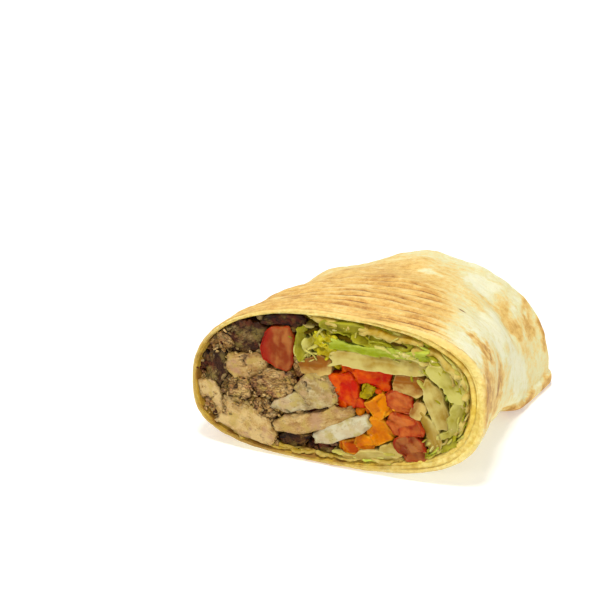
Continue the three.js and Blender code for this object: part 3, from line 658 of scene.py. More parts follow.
# ---------- pieces of the filling, sculpted from their solids ----------
def remeshed(node, voxel):
    """The node's surface in millimetres as even quads: its corners and faces."""
    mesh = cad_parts[node].data.copy()
    work = bmesh.new()
    work.from_mesh(mesh)
    bmesh.ops.remove_doubles(work, verts=work.verts, dist=1e-6)
    bmesh.ops.scale(work, verts=work.verts, vec=[1 / MM] * 3)
    work.to_mesh(mesh)
    work.free()
    made = bpy.data.objects.new("work", mesh)
    bpy.context.scene.collection.objects.link(made)
    modifier = made.modifiers.new("even", "REMESH")
    modifier.mode, modifier.voxel_size = "VOXEL", voxel
    evaluated = made.evaluated_get(bpy.context.evaluated_depsgraph_get())
    result = evaluated.to_mesh()
    p, f = np.zeros(len(result.vertices) * 3), np.zeros(len(result.polygons) * 4, int)
    result.vertices.foreach_get("co", p)
    result.polygons.foreach_get("vertices", f)
    evaluated.to_mesh_clear()
    bpy.data.objects.remove(made)
    bpy.data.meshes.remove(mesh)
    faces = f.reshape(-1, 4)
    return relaxed(p.reshape(-1, 3), faces, 2), faces


def relaxed(p, faces, rounds, held=None):
    """Each row of p eased towards its neighbours' mean; held rows stay."""
    a, b = np.concatenate([faces[:, [k, (k + 1) % 4]] for k in range(4)]).T
    n = len(p)
    touching = np.maximum(np.bincount(np.append(a, b), minlength=n), 1)[:, None]
    for _ in range(rounds):
        total = np.stack([np.bincount(a, p[b, i], n) + np.bincount(b, p[a, i], n) for i in range(3)], 1)
        eased = p + 0.6 * (total / touching - p)
        p = eased if held is None else np.where(held[:, None], p, eased)
    return p


def axes_of(p):
    """Middle of what shows of a piece at the cut, the way along its long side and the way across."""
    front = p[p[:, 1] < p[:, 1].min() + 2.5][:, [0, 2]]
    middle = front.mean(0)
    _, axes = np.linalg.eigh(np.cov((front - middle).T))
    long_way = axes[:, 1] * (1 if axes[0, 1] > 0 else -1)
    return middle, np.stack([long_way, (-long_way[1], long_way[0])])


def grain_of(p):
    """Coordinates along the piece's long side, across it, and in depth."""
    middle, axes = axes_of(p)
    return np.concatenate([(p[:, [0, 2]] - middle) @ axes.T, p[:, 1:2]], 1)


def edge_distance(p, n):
    """How far a point on the cut lies from the piece's side, in millimetres."""
    sides = p[(n[:, 1] > -0.55) & (p[:, 1] < p[:, 1].min() + 3)]
    tree = kdtree.KDTree(len(sides))
    for k, q in enumerate(sides):
        tree.insert((q[0], 0, q[2]), k)
    tree.balance()
    facing = n[:, 1] < -0.55
    found = np.zeros(len(p))
    found[facing] = [tree.find((q[0], 0, q[2]))[2] for q in p[facing]]
    return found


def beside(node, p, n):
    """How far each point of the node's side is from the next piece that it faces; the flatbread, which
    doesn't grow, counts as farther."""
    others = [(q, 1.8 if other == "flatbread" else 1.0) for other, q in OUTLINES.items() if other != node]
    share = np.concatenate([np.full(len(q), farther) for q, farther in others])
    others = np.concatenate([q for q, _ in others])
    near = ((others > p.min(0) - 4) & (others < p.max(0) + 4)).all(1)
    way = others[near][None] - p[:, None]
    far = np.linalg.norm(way, axis=2)
    return np.where((way * n[:, None]).sum(2) > 0.5 * far, far * share[near], 9.0).min(1)


def angular(p, depth, side, corners, bow, seed):
    """The outline at the cut drawn out to straight edges, as a knife leaves them, and bent by bow across its
    long side. corners: how many edges, or the way that each one faces, in degrees from the long side."""
    axes, grain = axes_of(p)[1], grain_of(p)[:, :2]
    shown = grain[depth < 3]
    middle, half = 0.5 * (shown.max(0) + shown.min(0)), 0.5 * np.ptp(shown, axis=0)
    u = (grain - middle) / half
    r, angle = np.maximum(np.linalg.norm(u, axis=1), 1e-6), np.arctan2(u[:, 1], u[:, 0])
    if isinstance(corners, tuple):
        edges = np.radians(corners)
    else:
        spread = lattice(np.stack([np.arange(corners)] * 3, 1) + seed, 5) - 0.5
        edges = np.radians(np.arange(corners) * 360 / corners + 300 / corners * spread * (corners > 4))
    rim = side & (depth < 3)
    reach = np.array([(u[rim] @ (math.cos(e), math.sin(e))).max() for e in edges])
    cosine = np.cos(angle[:, None] - edges)
    wanted = np.min(np.where(cosine > 0.2, reach / np.maximum(cosine, 0.2), 9), axis=1)
    # how far the outline reaches now, in each of the directions from its middle
    bins = np.zeros(72)
    direction = (angle + math.pi) * 36 / math.pi
    np.maximum.at(bins, direction[rim].astype(int) % 72, r[rim])
    bins = softened(np.where(bins > 0, bins, bins.max()), 3)
    now = np.interp(direction, np.arange(72) + 0.5, bins, period=72)
    fade = smooth(GROWN_TO, 2, depth)
    moved = u * half * ((np.clip(wanted * 0.97 / now, 0.82, 1.18) - 1) * fade)[:, None]
    moved[:, 1] += bow * (0.35 - np.minimum(u[:, 0] ** 2, 1.2)) * fade
    p = p.copy()
    p[:, [0, 2]] += moved @ axes
    return p


GROWN_TO = 6.5  # how far behind its front a piece widens


def sculpt(
    node, form, finish, slot, seed, grow=1.7, rough=0.2, trim=0.7, forward=0.6, lean=None, ridge=0.0,
    corners=6, bow=0.0, tint=0.0, **how,
):
    """grow: how far it may widen at the cut to meet what lies beside it. rough: how ragged its sides are.
    trim: how much of its rounded front is cut off. forward: share of its distance to the knife's plane that
    it comes forward. lean: slope of its cut side, along and across. bow: how far its middle stands out past
    its ends."""
    p, faces = MESHES[node]
    front = p[:, 1].min()
    depth = p[:, 1] - front
    n = normals_of(p, faces)
    if grow:
        side = (n[:, 1] > -0.5) & (depth < GROWN_TO)
        flat = unit(n[side][:, [0, 2]])
        reach = np.clip(0.5 * beside(node, p[side][:, [0, 2]], flat) - 0.02, 0, grow)
        at = p[side] * (1, 0.3, 1) + seed * 9.1
        reach = reach * (0.78 + 0.4 * noise(at, 3.0, 26)) + rough * fbm(at, 2.6, 27, 3)
        push = np.zeros_like(p)
        push[np.ix_(side, [0, 2])] = flat * (reach * smooth(GROWN_TO, 2.5, depth[side]))[:, None]
        push = relaxed(push, faces, 16, held=side | (depth >= GROWN_TO))
        p = angular(p + relaxed(push, faces, 2), depth, side, corners, bow, seed)
    # the knife leaves a sharp edge: the rounded front of the solid is cut off square
    p[:, 1] = np.maximum(p[:, 1] - trim * (1 - smooth(0, 5, depth)), front)
    depth = p[:, 1] - front
    facing = smooth(0.35, 0.9, -normals_of(p, faces)[:, 1])
    grain = grain_of(p)
    along_way, across_way = lean or (0.1 * math.sin(2.4 * seed), 0.14 * math.cos(3.1 * seed))
    raised = along_way * grain[:, 0] + across_way * grain[:, 1]
    raised = raised + ridge * np.abs(grain[:, 0] * math.sin(seed) + grain[:, 1] * math.cos(seed))
    p[:, 1] += (raised - forward * max(front - CUT, 0)) * (1 - smooth(0, 4, depth))
    n = normals_of(p, faces)
    move, crack, part = form(p, n, grain, facing, seed, **how)
    p = p + n * move[:, None]
    p[:, 1] = np.clip(p[:, 1], CUT - 0.35, END - 3)
    attributes = {
        "edge": edge_distance(p, normals_of(p, faces)), "grain": grain + seed * 7.3, "crack": crack,
        "part": part, "tint": np.full(len(p), float(tint)),
    }
    mesh_object(node + "_cut", p, faces, finish, attributes, [node])


# Each form gives how far the surface moves out, how deep in a crack it is and how light it is, by point.
def facets(away, tag):
    """Height on a random slope for each cell, in cells."""
    return away[:, 0] * np.cos(tag * 40) + away[:, 1] * np.sin(tag * 40)


def meat_form(p, n, grain, facing, seed, crumble=0.3, fibre=0.08):
    g = grain + seed * 5.1
    warped = g + 0.9 * np.stack([noise(g, 2.4, 80 + k) for k in range(3)], 1)
    near, following, away, tag = pebbles(warped, (5.6 - 2.8 * crumble, 3.6 - 1.4 * crumble, 5.0), 9)
    torn = smooth(0.76 - 0.6 * crumble, 0.92 - 0.6 * crumble, 0.5 + 0.5 * noise(p, 4.5, 10 + seed))
    crack = smooth(0.075, 0.015, following - near) * torn
    pits = smooth(0.68, 0.86, noise(p, 1.0, 14 + seed)) * torn
    steps = (0.5 * (tag - 0.5) + 0.7 * facets(away, tag)) * torn * facing
    fibres = fibre * (noise(g, (6, 0.9, 5), 6) + 0.5 * noise(g, (3, 0.45, 3), 7))
    move = 0.2 * fbm(p + seed, 3.0, 5, 4) + fibres + steps - 0.8 * crack - 0.35 * pits
    return move, np.clip(crack + 0.6 * pits, 0, 1), tag


def wedge_form(p, n, grain, facing, seed):
    """Cut flesh with the skin's red band round its left side."""
    x, _, z = p.T
    inwards = (x - x.min()) / np.ptp(x) + 0.05 * noise(p, 2.0, 16) - 0.22 * np.abs(z - z.mean()) / np.ptp(z)
    band = smooth(0.46, 0.1, inwards)
    fibres = noise(p, (0.8, 4, 2.4), 19) * smooth(0.5, 0.1, band)
    part = np.clip(0.5 + 0.4 * noise(p, 4, 18) + 0.5 * fibres, 0, 1)
    return 0.1 * fbm(p, 2.4, 15, 3) + 0.06 * fibres * facing - 0.5 * band * facing, band, part


def soft_form(p, n, grain, facing, seed, bumps=0.12, size=2.6, facet=0.2):
    _, _, away, tag = pebbles(grain + seed * 3.7, (5.5, 4.2, 6), 17)
    return bumps * fbm(p + seed, size, 15, 3) + facet * 4 * facets(away, tag) * facing, 0 * tag, tag


def leaf_form(p, n, grain, facing, seed, ripple=0.2, ribs=0.05, shade=None):
    """shade: how much lighter it gets across, a painted shading from one side of the leaf to the other."""
    g = grain + seed * 4.3
    move = ripple * noise(g, (3.6, 8, 6), 19) + ribs * noise(g, (8, 0.5, 6), 20) + 0.06 * noise(p, 1.2, 21)
    across = g[:, 1] - seed * 4.3
    # painted shade: part lightens one side of the leaf and darkens the other
    part = 0.5 + (shade or 0.4 * (-1) ** seed) * across / max(np.abs(across).max(), 1)
    part = part + 0.3 * noise(p, 4, 23 + seed)
    return move, smooth(0.72, 0.9, 1 - np.abs(noise(g, (9, 1.3, 6), 22))), np.clip(part, 0, 1)


def loose_form(p, n, grain, facing, seed, lump=3.0, rise=0.9):
    near, following, _, tag = pebbles(p + 0.7 * noise(p, 2.5, 24)[:, None], lump, 25 + seed)
    gap = smooth(0.22, 0.02, following - near)
    return rise * (0.5 - smooth(0.1, 0.75, near)) + 0.25 * fbm(p, 1.6, 26, 3) - 0.4 * gap, gap, tag


# ---------- finishes of the filling ----------
def meat_finish(
    name, light, middle, dark, seared, pink=(198, 150, 112), yellow=(204, 172, 88), gloss=0.5, shine=0.2,
    torn=0.4, lumps=0.07,
):
    """light, middle and dark: the cut meat. seared: its outside. pink and yellow: casts that come and go.
    torn: how much its fibres part. lumps: how much lighter or darker each lump is."""
    m = Finish(
        name, deep_rgb, Subsurface_Weight=0.1, Subsurface_Radius=(1.0, 0.5, 0.25), Subsurface_Scale=0.001,
        Coat_Weight=0.12, Coat_Roughness=0.2, Specular_IOR_Level=shine,
    )

    def patches(size, shift, detail, *limits):
        return m.noise(size, detail, at=m.place(shift=shift)).remap(*limits)

    fibre = m.noise(1.0, 4, 0.6, at=m.place((3.0, 0.7, 2.2), "grain"))
    broad, fine = m.noise(3.2, 4), m.noise(0.42, 3, 0.65)
    value = fibre * 0.34 + broad * 0.68 + m.read("part").remap(0, 1, -lumps, lumps)
    value = value + fine.remap(0.3, 0.7, -0.08, 0.08) + m.read("tint")
    colour = m.ramp(value, (0.36, dark), (0.5, middle), (0.64, light))
    colour = m.mix(patches(4.6, 31, 2, 0.5, 0.62, 0, 0.7), colour, pink)
    colour = m.mix(patches(3.6, 57, 2, 0.52, 0.64, 0, 0.75), colour, yellow)
    fibres = m.warped(m.place((1.9, 0.75, 1.4), "grain"), 1.6, 1.6)
    parted = m.cells(1.0, fibres, "DISTANCE_TO_EDGE").remap(0.09, 0.02)
    parted = parted * patches(2.2, 83, 3, 0.6 - 0.18 * torn, 0.66 - 0.18 * torn)
    colour = m.mix(parted * (0.35 + 0.15 * torn), colour, seared)
    skin = m.read("edge").remap(0.1, 0.6, 1.0, 0.0) * m.noise(2.0, 3).remap(0.4, 0.62, 0.1, 0.9)
    outside = m.mix(fine.remap(0.3, 0.7), seared, [0.6 * c for c in seared])
    colour = m.mix(skin * (0.55 + 0.25 * torn), colour, outside)
    # painted shade: cracks, pits and the gaps between lumps and flakes go near-black brown
    colour = m.mix(m.read("crack") * 0.8, colour, (60, 30, 10))
    pepper = m.cells(0.8).remap(0.2, 0.1) * m.noise(2.6, 2).remap(0.56, 0.62)
    colour = m.mix(pepper * 0.75, colour, (76, 38, 14))
    pores = m.cells(0.55, m.place((1.6, 0.8, 1), "grain")).remap(0.2, 0.08) * patches(1.7, 19, 2, 0.5, 0.58)
    colour = m.mix(pores * 0.6, colour, seared)
    height = fibre * 0.8 + (fine * 0.6 + broad * 1.6) - (parted * (0.5 + torn) + pores * 0.6)
    rough = fibre.remap(0.3, 0.7, gloss + 0.12, gloss - 0.1)
    m.set(Base_Color=colour, Roughness=rough, Normal=m.bump(height, 0.4, 0.65 + 0.2 * torn))


def crisp_finish(
    name, flesh, pale, skin, veins=None, gloss=0.26, scatter=0.2, radius=(1.0, 0.5, 0.2), reach=0.5,
    share=0.8, vein_share=0.5, coat=0.12, size=2.6, fall=0.12,
):
    """A wet cut vegetable. flesh and pale: its cut face. skin: its rim, as far in as reach, and its sides; on
    the carrot, cabbage and lettuce it is lighter than the flesh, a painted highlight along the edges.
    size: of its lighter patches. fall: how much lighter or darker each part is, on leaves and onions a
    painted shading across them."""
    m = Finish(
        name, deep_rgb, Subsurface_Weight=scatter, Subsurface_Radius=radius, Subsurface_Scale=0.0012,
        Coat_Weight=coat, Coat_Roughness=0.1, Specular_IOR_Level=0.03,
    )
    grain = m.noise(1.0, 3, at=m.place((4, 1.1, 3), "grain"))
    broad = m.noise(size, 3, 0.5)
    value = grain * 0.22 + broad * 0.8 + m.read("part").remap(0, 1, -fall, fall) + m.read("tint")
    colour = m.ramp(value, (0.36, flesh), (0.68, pale))
    if veins:
        colour = m.mix(m.read("crack") * vein_share, colour, veins)
    # rim: the skin colour along the edges; on the carrot, cabbage and lettuce it is lighter, a painted
    # highlight
    rim = m.read("edge").remap(0.1, reach, 1, 0) * m.noise(1.8, 2).remap(0.35, 0.6, 0.3, 1.0)
    height = grain * 0.6 + m.noise(0.6, 3, 0.6) * 0.5
    rough = broad.remap(0.3, 0.7, gloss + 0.1, gloss - 0.06)
    m.set(Base_Color=m.mix(rim * share, colour, skin), Roughness=rough, Normal=m.bump(height, 0.16, 0.6))


SHADED = {"gloss": 0.4, "torn": 0.8}
MEATS = {  # light, middle, dark, seared, what else is its own
    "meat_cut": ((230, 197, 130), (208, 168, 98), (172, 126, 64), (112, 62, 22), {"torn": 0.12}),
    "meat_crumbly": (
        (228, 190, 122), (196, 152, 84), (148, 102, 44), (104, 58, 24),
        {"pink": (182, 122, 78), "yellow": (190, 158, 68), "torn": 1.0},
    ),
    "meat_pale": (
        (226, 208, 158), (206, 182, 126), (176, 145, 84), (112, 68, 24),
        {"pink": (210, 172, 122), "yellow": (206, 180, 92), "torn": 0.1},
    ),
    "meat_white": (
        (228, 218, 178), (208, 192, 144), (180, 150, 84), (160, 118, 44),
        {"pink": (214, 190, 144), "yellow": (200, 178, 92), "torn": 0.0},
    ),
    "meat_browned": (
        (132, 98, 52), (88, 54, 24), (46, 16, 4), (40, 14, 4),
        {**SHADED, "pink": (112, 52, 28), "yellow": (122, 98, 50), "shine": 0.04, "lumps": 0.2},
    ),
    # meat_shaded: a darker copy of the meat, painted shade, for pieces and bits in the top left and along the
    # walls
    "meat_shaded": (
        (164, 138, 90), (122, 94, 54), (76, 48, 20), (54, 26, 8),
        {**SHADED, "pink": (118, 60, 34), "yellow": (138, 118, 62), "shine": 0.06, "lumps": 0.24},
    ),
    # loose_meat: darker than the cut meat, painted shade for the filling seen deep in the gaps
    "loose_meat": ((132, 92, 46), (84, 50, 20), (42, 14, 4), (36, 12, 4), {"gloss": 0.45, "shine": 0.04}),
}
RED = {"scatter": 0.3, "radius": (1.0, 0.25, 0.1)}
PALE = {"scatter": 0.3, "reach": 0.4, "share": 0.45, "size": 3.6, "fall": 0.17}
# skin on the carrot, cabbage and lettuce finishes is lighter than their flesh: a painted highlight along the
# edges
CRISP = {  # flesh, pale, skin and maybe veins, what else is its own
    "tomato_flesh": ((172, 46, 2), (222, 122, 56), (166, 34, 0), {**RED, "gloss": 0.18}),
    "tomato_wedge": (
        (150, 66, 24), (190, 118, 62), (172, 44, 10), (170, 40, 10),
        {**RED, "gloss": 0.2, "reach": 0.6, "vein_share": 0.9, "fall": 0.22},
    ),
    "red_pepper": (
        (208, 44, 0), (240, 108, 0), (176, 26, 0),
        {"gloss": 0.16, "radius": (1.0, 0.2, 0.05), "coat": 0.08},
    ),
    "carrot": (
        (188, 78, 0), (240, 144, 2), (250, 178, 50),
        {"gloss": 0.18, "radius": (1.0, 0.4, 0.08), "reach": 0.62, "share": 0.7, "coat": 0.08},
    ),
    "yellow_pepper": (
        (172, 148, 10), (228, 218, 56), (200, 178, 36),
        {"gloss": 0.2, "scatter": 0.3, "radius": (1.0, 0.8, 0.2), "share": 0.5},
    ),
    "cabbage": (
        (180, 144, 56), (220, 202, 118), (230, 216, 134), (226, 210, 132),
        {**PALE, "radius": (1.0, 0.9, 0.5), "reach": 0.35, "vein_share": 0.2},
    ),
    "onion": (
        (164, 100, 24), (228, 198, 112), (222, 190, 112), (226, 198, 128),
        {**PALE, "gloss": 0.14, "scatter": 0.35, "radius": (1.0, 0.8, 0.5), "vein_share": 0.1, "fall": 0.2},
    ),
    "lettuce": (
        (128, 118, 6), (188, 178, 48), (192, 194, 58), (200, 190, 80),
        {**PALE, "scatter": 0.25, "radius": (0.8, 1.0, 0.3), "vein_share": 0.3},
    ),
    "lettuce_core": (
        (172, 156, 46), (216, 206, 112), (220, 212, 112), (224, 210, 126),
        {**PALE, "radius": (0.9, 1.0, 0.4), "vein_share": 0.25},
    ),
    "lettuce_bright": (
        (160, 170, 22), (210, 218, 96), (210, 222, 84), (224, 226, 130),
        {**PALE, "radius": (0.8, 1.0, 0.3), "reach": 0.5, "share": 0.5, "vein_share": 0.3},
    ),
    # near-black leaves laid into the gaps at the top: painted shade
    "lettuce_dark": ((52, 30, 2), (112, 96, 14), (84, 64, 6), {"scatter": 0.1, "coat": 0.0}),
    "torn_bread": (
        (186, 148, 42), (228, 204, 112), (236, 216, 132),
        {"gloss": 0.6, "scatter": 0.15, "share": 0.4, "coat": 0.0},
    ),
    # loose_salad: darker than the leaves, painted shade for the salad seen in the gaps; its veins colour
    # darkens the gaps between its lumps and flakes as painted shade
    "loose_salad": ((92, 72, 8), (164, 144, 50), (120, 106, 20), (72, 50, 6), {}),
}
for make, table in ((meat_finish, MEATS), (crisp_finish, CRISP)):
    for name, (*colours, how) in table.items():
        make(name, *colours, **how)

# ---------- each piece: its form, finish, slot and shape ----------
CRUMBLY = {"crumble": 0.8, "rough": 0.35, "grow": 2.2}
FIRM = {"crumble": 0.0, "rough": 0.3, "grow": 2.2}
# ways that a strip's edges face
OBLIQUE = ((90, 270, 38, 190), (84, 262, 345, 215), (94, 272, 20, 150, 325))
SCULPTED = {}
for name, finish, how in (
    ("01", "meat_cut", {"tint": 0.1, "bow": 0.6, **FIRM}),
    ("02", "meat_cut", {
        "tint": 0.08, "crumble": 0.05, "grow": 2.0, "corners": (92, 66, 40, 12, 340, 300, 270, 185, 135),
    }),
    ("03", "meat_cut", {"tint": -0.02, "crumble": 0.2, "grow": 2.2, "corners": 9}),
    ("04", "meat_crumbly", {"tint": 0.04, **CRUMBLY}),
    ("05", "meat_crumbly", {"tint": -0.02, **CRUMBLY}),
    ("06", "meat_pale", {"tint": -0.08, "crumble": 0.08, "grow": 2.2, "corners": 5}),
    ("07", "meat_crumbly", {"tint": -0.04, "crumble": 0.4, "grow": 2.2}),
    ("08", "meat_crumbly", {"tint": 0.03, **CRUMBLY}),
    ("strip_01", "meat_cut", {
        "tint": 0.02, "ridge": 0.12, "bow": -0.9, "corners": (90, 270, 0, 40, 180, 140, 220), **FIRM,
        "grow": 1.4,
    }),
    ("strip_02", "meat_white", {
        "tint": 0.1, "crumble": 0.0, "ridge": 0.1, "grow": 0.15, "rough": 0.06, "bow": 0.4, "forward": 1.0,
        "corners": (90, 270, 0, 30, 60, 330, 300, 180, 150, 120, 210, 240),
    }),
    ("strip_03", "meat_pale", {"tint": 0.12, "crumble": 0.2}),
):
    SCULPTED["meat_" + name] = meat_form, finish, "meat", how
how = {"grow": 0.6, "corners": 12, "forward": 1.0}
SCULPTED["tomato_wedge_01"] = wedge_form, "tomato_wedge", "tomato", how
for k, finish in enumerate(("meat_shaded", "meat_shaded", "meat_browned", "meat_browned")):
    how = {"tint": (-0.2, -0.04, 0, -0.18)[k], "crumble": 0.55, "rough": 0.35, "grow": 2.2}
    SCULPTED[f"meat_browned_0{k + 1}"] = meat_form, finish, "browned_meat", how
    how = {"tint": (0.2, 0.16, -0.06, -0.16)[k], "ridge": 0.3, "rough": 0.12, "corners": 4}
    SCULPTED[f"carrot_0{k + 1}"] = soft_form, "carrot", "carrot", how
for k, finish in enumerate(("tomato_flesh", "tomato_flesh", "tomato_wedge")):
    how = {"bumps": 0.2, "size": 2.0, "facet": 0.3, "corners": 5}
    SCULPTED[f"tomato_0{k + 1}"] = soft_form, finish, "tomato", how
    # onions: shade below 0 paints them darker at the top, as painted shade
    how = {"tint": (-0.1, 0.04, -0.14)[k], "grow": 1.3, "corners": 7, "shade": -0.7}
    SCULPTED[f"onion_0{k + 1}"] = leaf_form, "onion", "onion", how
for k, tint in enumerate((0.06, -0.2)):
    how = {"ridge": 0.16, "rough": 0.15, "corners": 4}
    SCULPTED[f"red_pepper_0{k + 1}"] = soft_form, "red_pepper", "red_pepper", how
    how = {"bumps": 0.5, "size": 1.3, "facet": 0.4, "rough": 0.5, "grow": 2.2, "tint": tint}
    SCULPTED[f"yellow_pepper_0{k + 1}"] = soft_form, "yellow_pepper", "yellow_pepper", how
for k, (tint, grow, across, bow) in enumerate((
    (-0.02, 0.7, 0.3, -0.5), (-0.16, 1.2, -0.3, 1.7), (0.06, 1.7, 0.24, 0.3), (-0.04, 1.2, -0.3, 0.7),
    (0.0, 1.2, 0.3, -0.6),
), 1):
    how = {"tint": tint, "rough": 0.35, "grow": grow, "lean": (0.05, across), "bow": bow}
    how["corners"] = OBLIQUE[k % len(OBLIQUE)]
    SCULPTED[f"cabbage_strip_0{k}"] = leaf_form, "cabbage", "cabbage", how
for k, (finish, tint) in enumerate((
    ("lettuce_bright", -0.12), ("lettuce", -0.04), ("lettuce", -0.06), ("lettuce_core", 0.1),
    ("lettuce_core", -0.06), ("lettuce", -0.04), ("lettuce", -0.06), ("lettuce_core", 0),
), 1):
    how = {"tint": tint, "ripple": 0.45, "rough": 0.4, "grow": 0.9, "lean": (0.04, 0.3 * (-1) ** k)}
    how |= {"corners": OBLIQUE[(k + 1) % len(OBLIQUE)], "bow": 0.7 * math.sin(2.3 * k)}
    SCULPTED[f"lettuce_0{k}"] = leaf_form, finish, "lettuce", how
# size of the remesh by slot
FINE = {"tomato": 0.3, "carrot": 0.28, "red_pepper": 0.3, "onion": 0.3, "cabbage": 0.3}
FINE |= {"yellow_pepper": 0.25, "lettuce": 0.25, "meat": 0.36, "browned_meat": 0.36}
MESHES = {node: remeshed(node, FINE[slot]) for node, (_, _, slot, _) in SCULPTED.items()}

# the inside of the flatbread at the cut, the way in from it, and the outlines of the pieces there
room_loop = softened(outline(room_at(0)), 3)
thinner = rim_share(np.arange(AROUND) / AROUND)[:, None]
room_loop = room_loop + (softened(outline(section_at(0)), 3) - room_loop) * thinner + (SHIFT_X, 0)
room_in = -outward(room_loop)
OUTLINES = {"flatbread": room_loop}
for node, (p, faces) in MESHES.items():
    ring = p[(p[:, 1] < p[:, 1].min() + 3) & (normals_of(p, faces)[:, 1] > -0.6)][::4]
    OUTLINES[node] = ring[:, [0, 2]]
for seed, (node, (form, finish, slot, how)) in enumerate(SCULPTED.items(), 1):
    sculpt(node, form, finish, slot, seed, **how)
for seed, (node, finish, slot, how) in enumerate((
    ("seasoned_filling", "loose_meat", "browned_meat", {"lump": 3.0, "rise": -0.9}),
    ("shredded_salad", "loose_salad", "cabbage", {"lump": (5.0, 3.0, 2.2), "rise": -0.7}),
), 61):
    MESHES[node] = remeshed(node, 0.8)
    sculpt(node, loose_form, finish, slot, seed, grow=0, trim=0, forward=0, lean=(0, 0), **how)


# ---------- broken filling just behind the pieces ----------
def cut_grid(step):
    """Places on the cut, x and z, that take in all of the filling."""
    return np.stack(np.meshgrid(np.arange(-41, 41, step), np.arange(2, 46, step), indexing="ij"), -1)


def to_wall(places, every=4):
    """How far each place on the cut is inside the wall, and the number of the wall's nearest point; one in
    every four is looked at."""
    away = places.reshape(-1, 2)[:, None] - room_loop[None, ::every]
    nearest = np.linalg.norm(away, axis=2).argmin(1)
    inside = (away[np.arange(len(nearest)), nearest] * room_in[::every][nearest]).sum(1)
    return inside.reshape(places.shape[:-1]), every * nearest.reshape(places.shape[:-1])


def backing(name, keep, grain, size, back, finish, light, seed):
    """A surface of tilted flakes with cracks between them, which its finish darkens as painted shade, where
    keep
    holds. light: the middle of a painted pool of light, where it is lighter than the rest."""
    grid = np.full(keep.shape, -1)
    grid[keep] = np.arange(keep.sum())
    g = grain[keep]
    warped = g + 0.5 * np.stack([noise(g, 1.9, seed + k) for k in range(3)], 1)
    near, following, away, tag = pebbles(warped, size, seed)
    seam = smooth(0.14, 0.02, following - near)
    x, z = FIELD[keep].T
    flat = np.stack([x, z, x * 0], 1)
    relief = 0.9 * (tag - 0.5) + 1.3 * facets(away, tag) + 1.1 * seam + 0.25 * fbm(flat, 1.1, seed + 5, 3)
    faces = np.stack([grid[:-1, :-1], grid[:-1, 1:], grid[1:, 1:], grid[1:, :-1]], -1).reshape(-1, 4)
    # lit: a painted pool of light round light
    lit = 0.3 * bell(np.hypot(x - light[0], z - light[1]), 11)
    attributes = {
        "edge": (following - near) * min(size), "crack": seam, "part": tag, "grain": g,
        "tint": 0.5 * (tag - 0.6) + 0.06 * noise(flat, 6, seed + 6) + lit,
    }
    points = np.stack([x, CUT + back + 0.9 * relief, z], 1)
    mesh_object(name, points, faces[(faces >= 0).all(1)], finish, attributes)


FIELD = cut_grid(0.3)
wall, nearest = to_wall(FIELD)
# the meat lies left of the divide, given as z and x, and the salad right of it
divide = [0, 6, 12, 20, 27, 34, 47], [-2, 0, 8, 2, -1, -12, -11]
meat_side = FIELD[..., 0] < np.interp(FIELD[..., 1], *divide)
lumps = np.stack([FIELD[..., 0], FIELD[..., 1], 0 * wall], -1)
flow = np.where(wall[..., None] < 8, np.stack([nearest * WALL_STEP, wall, 0 * wall], -1), lumps + 90)
for name, keep, grain, size, back, finish, slot, light, seed in (
    ("crumbled_meat", meat_side, lumps, (2.6, 2.1, 3), 2.0, "meat_browned", "browned_meat", (-20, 18), 151),
    ("packed_salad", ~meat_side, flow, (6.5, 1.5, 3), 2.4, "loose_salad", "lettuce", (28, 30), 161),
):
    backing(name, (wall > -0.4) & keep, grain, size, back, finish, light, seed)


